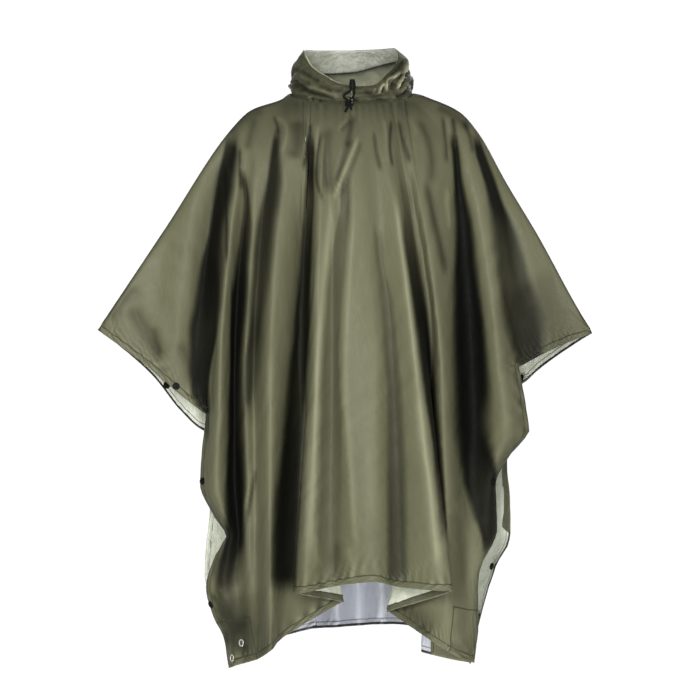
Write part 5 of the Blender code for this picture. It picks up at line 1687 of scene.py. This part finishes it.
def set_on_cloth(model, name, cloth, x, z, face, radius, slot_name):
    """Copy of a model on the outer or the inner face of the cloth, clear of the cloth under it."""
    index = cloth.nearest(x, z)
    place = cloth.points[index]
    normal = Vector(cloth.normals[index]) * face
    near = cloth.points[np.linalg.norm(cloth.points - place, axis=2) < radius + 3.0] - place
    rises = near @ np.array(normal)
    lift = max(0.0, rises[np.abs(rises) < radius].max()) + TRIM_GAP
    if face == OUTER_FACE:
        lift += CLOTH_WALL
    mesh = model.data.copy()
    mesh.name = f"{name}_cap"
    turn = Vector((0, 0, 1)).rotation_difference(normal).to_matrix().to_4x4()
    mesh.transform(Matrix.Translation((Vector(place) + normal * lift) * MM) @ turn)
    settle(add_piece(mesh.name, mesh), slot_name, name)


def make_trim(cloths):
    stud = model_stud()
    for name, key, x, z, face in STUDS:
        set_on_cloth(stud, name, cloths[key], x, z, face, STUD_RADIUS, "black_plastic")
    eyelet = model_eyelet()
    for name, key, x, z in EYELETS:
        set_on_cloth(eyelet, name, cloths[key], x, z, OUTER_FACE, EYELET_OUTER, "nickelled_steel")
    bpy.data.objects.remove(stud)
    bpy.data.objects.remove(eyelet)


def make_lock():
    """Barrel lock of the drawstring: ribbed barrel, spring button on top, and its two strands."""
    middle_x, middle_y, middle_z = LOCK_CENTRE
    lock = add_cylinder(LOCK_RADIUS, LOCK_HEIGHT * LOCK_BARREL_SHARE,
                        (middle_x, middle_y, middle_z - LOCK_HEIGHT / 2))
    lock.name = lock.data.name = "cord_lock_barrel"
    axis = (middle_x * MM, middle_y * MM, 0.0)
    bpy.ops.object.mode_set(mode="EDIT")
    pick_faces(lock, at_top)
    for inset, rise, width in LOCK_STEPS:
        step_faces(inset, rise)
        bpy.ops.transform.resize(value=(width, width, 1.0), center_override=axis)
    pick_faces(lock, lambda face: face.normal.z < -0.9)
    step_faces(*LOCK_FOOT)
    pick_faces(lock, lambda face: abs(face.normal.z) < 0.1 and face.calc_area() > LOCK_RIB_AREA
               and int(math.degrees(math.atan2(face.normal.y, face.normal.x)) // 9) % 4 == 0)
    bpy.ops.mesh.inset(thickness=0.15 * MM, depth=-0.45 * MM, use_individual=True)
    soften(lock, 0.35, BLACK)
    routes = [[(middle_x + side * x, y, z) for x, y, z in LOCK_STRAND] for side in (-1, 1)]
    strands = [braid_tube("lock_strand", route)[0] for route in routes]
    settle(join(lock, *strands), "black_plastic", "cord_lock")


def make_knot():
    """Whipping that holds the two ends of the string together: three turns, each a little askew."""
    x, y, z = KNOT_CENTRE
    turns = []
    for number, tilt in enumerate(KNOT_TILTS):
        turns.append(add_torus(1.0, KNOT_WRAP_RADIUS / KNOT_HALF_WIDTH, 12))
        bpy.ops.transform.resize(value=(KNOT_HALF_WIDTH * MM, KNOT_HALF_DEPTH * MM, KNOT_HALF_WIDTH * MM))
        bpy.ops.transform.rotate(value=math.radians(tilt), orient_axis="Y", center_override=(0.0, 0.0, 0.0))
        height = (number - 1) * KNOT_WRAP_STEP
        bpy.ops.transform.translate(value=(x * MM, y * MM, (z + height) * MM))
        bpy.ops.object.mode_set(mode="OBJECT")
    knot = join(*turns)
    knot.name = knot.data.name = "cord_knot_whipping"
    bpy.ops.object.shade_smooth()
    knot.data.uv_layers.active.name = "cloth"
    knot.data.materials.append(BRAID)
    settle(knot, "black_cord", "cord_knot")
    return knot


def braid_tube(name, route):
    """Braided cord along a route, with ends melted round, and the places along its middle."""
    places = smooth_line(np.array(route, float), CORD_RINGS)
    steps = np.gradient(places, axis=0)
    steps /= np.linalg.norm(steps, axis=1, keepdims=True)
    side = np.cross(steps, CORD_SIDE if abs(steps[:, 1]).max() < 0.9 else CORD_OTHER_SIDE)
    side /= np.linalg.norm(side, axis=1, keepdims=True)
    upright = np.cross(steps, side)
    gone = np.concatenate(((0.0,), np.cumsum(np.linalg.norm(np.diff(places, axis=0), axis=1))))
    angle = np.linspace(0, 2 * math.pi, CORD_SIDES + 1)
    turn = 2 * math.pi * gone[:, None] / BRAID_PITCH
    half = BRAID_STRANDS / 2
    braid = np.maximum(np.sin(half * (angle[None, :] + turn)), np.sin(half * (angle[None, :] - turn)))
    end = np.minimum(gone, gone[-1] - gone)[:, None]
    radius = (CORD_RADIUS - BRAID_DEPTH + BRAID_DEPTH * braid) * np.clip(
        CORD_END_RADIUS + end / CORD_END_LENGTH, 0.05, 1)
    points = (places[:, None] + side[:, None] * (radius * np.cos(angle))[..., None]
              + upright[:, None] * (radius * np.sin(angle))[..., None])
    caps = [place[None].repeat(CORD_SIDES + 1, axis=1) for place in (places[:1], places[-1:])]
    points = np.concatenate((caps[0], points, caps[1]))
    along = np.concatenate((gone[:1], gone, gone[-1:]))
    uv = np.stack(np.broadcast_arrays(angle[None, :] * CORD_RADIUS * MM, along[:, None] * MM), axis=-1)
    mesh = cloth_mesh(name, points, np.ones(points.shape[:2], bool), False, {}, uv)
    shell = bmesh.new()
    shell.from_mesh(mesh)
    bmesh.ops.remove_doubles(shell, verts=shell.verts, dist=0.00002)
    bmesh.ops.recalc_face_normals(shell, faces=shell.faces)
    shell.to_mesh(mesh)
    shell.free()
    return add_piece(name, mesh, (BRAID,)), places, gone[-1]


def make_cord(node, route):
    """One free end of the drawstring."""
    piece, places, length = braid_tube(f"{node}_braid", route)
    settle(piece, "black_cord", node)


def add_camera():
    camera = bpy.data.cameras.new("camera")
    camera.sensor_width = 36.0
    camera.lens = camera.sensor_width * VIEW_DISTANCE / VIEW_WIDTH
    camera.clip_end = 100.0
    thing = bpy.data.objects.new("camera", camera)
    bpy.context.scene.collection.objects.link(thing)
    thing.location = (VIEW_X * MM, -VIEW_DISTANCE * MM, VIEW_Z * MM)
    thing.rotation_euler = (math.pi / 2, 0.0, 0.0)
    bpy.context.scene.camera = thing


def add_light(name, place, target, size, power):
    lamp = bpy.data.lights.new(name, "AREA")
    lamp.shape = "RECTANGLE"
    lamp.size, lamp.size_y = size
    lamp.energy = power
    thing = bpy.data.objects.new(name, lamp)
    bpy.context.scene.collection.objects.link(thing)
    thing.location = place
    thing.visible_camera = False
    thing.rotation_euler = (Vector(target) - Vector(place)).to_track_quat("-Z", "Y").to_euler()


def add_glow(name, shape, strength):
    """Pale surface of the studio that shows as evenly lit and throws no light on the garment."""
    mesh = bpy.data.meshes.new(name)
    shape.to_mesh(mesh)
    shape.free()
    finish = Finish(name, 0.9, Base_Color=rgba((0.0, 0.0, 0.0)), Specular_IOR_Level=0.0,
                    Emission_Color=rgba((1.0, 1.0, 1.0)), Emission_Strength=strength)
    thing = add_piece(name, mesh, (finish.material,))
    thing.visible_diffuse = False
    thing.visible_glossy = False
    thing.visible_shadow = False


def add_studio():
    """Pale round floor under a pale dome, both far enough out to stand behind every camera."""
    floor = bmesh.new()
    bmesh.ops.create_circle(floor, cap_ends=True, segments=64, radius=STUDIO_FLOOR_RADIUS)
    bmesh.ops.translate(floor, verts=floor.verts, vec=(0.0, 0.0, STUDIO_FLOOR_Z))
    add_glow("studio_floor", floor, FLOOR_GLOW)
    dome = bmesh.new()
    bmesh.ops.create_uvsphere(dome, u_segments=48, v_segments=24, radius=STUDIO_RADIUS)
    add_glow("studio_dome", dome, DOME_GLOW)
    for light in LIGHTS:
        add_light(*light)
    world = bpy.data.worlds.new("world")
    world.use_nodes = True
    world.node_tree.nodes["Background"].inputs["Color"].default_value = rgba((1.0, 1.0, 1.0))
    world.node_tree.nodes["Background"].inputs["Strength"].default_value = WORLD_GLOW
    bpy.context.scene.world = world
    bpy.context.scene.view_settings.view_transform = "Standard"


add_camera()
knot_piece = make_knot()
make_cord("drawcord_left", CORD_LEFT_ROUTE)
make_cord("drawcord_right", CORD_RIGHT_ROUTE)
make_lock()
halves = {"front": make_half("front", FRONT, FRONT_BANDS, FRONT_CREASES, INNER, 1.0),
          "back": make_half("back", BACK, BACK_BANDS, BACK_CREASES, BACK_INNER, 1.02)}
for key, cloth in halves.items():
    make_patch(key, cloth, True)
    make_patch(key, cloth, False)
throat = THROAT_GAP / 2 / BRIM_FRONT_DEPTH
make_hood_half("hood_left", -math.pi / 2 - throat, -math.pi * 3 / 2, False)
make_hood_half("hood_right", -math.pi / 2 + throat, math.pi / 2, True)
make_tunnel()
make_trim(halves)
add_studio()
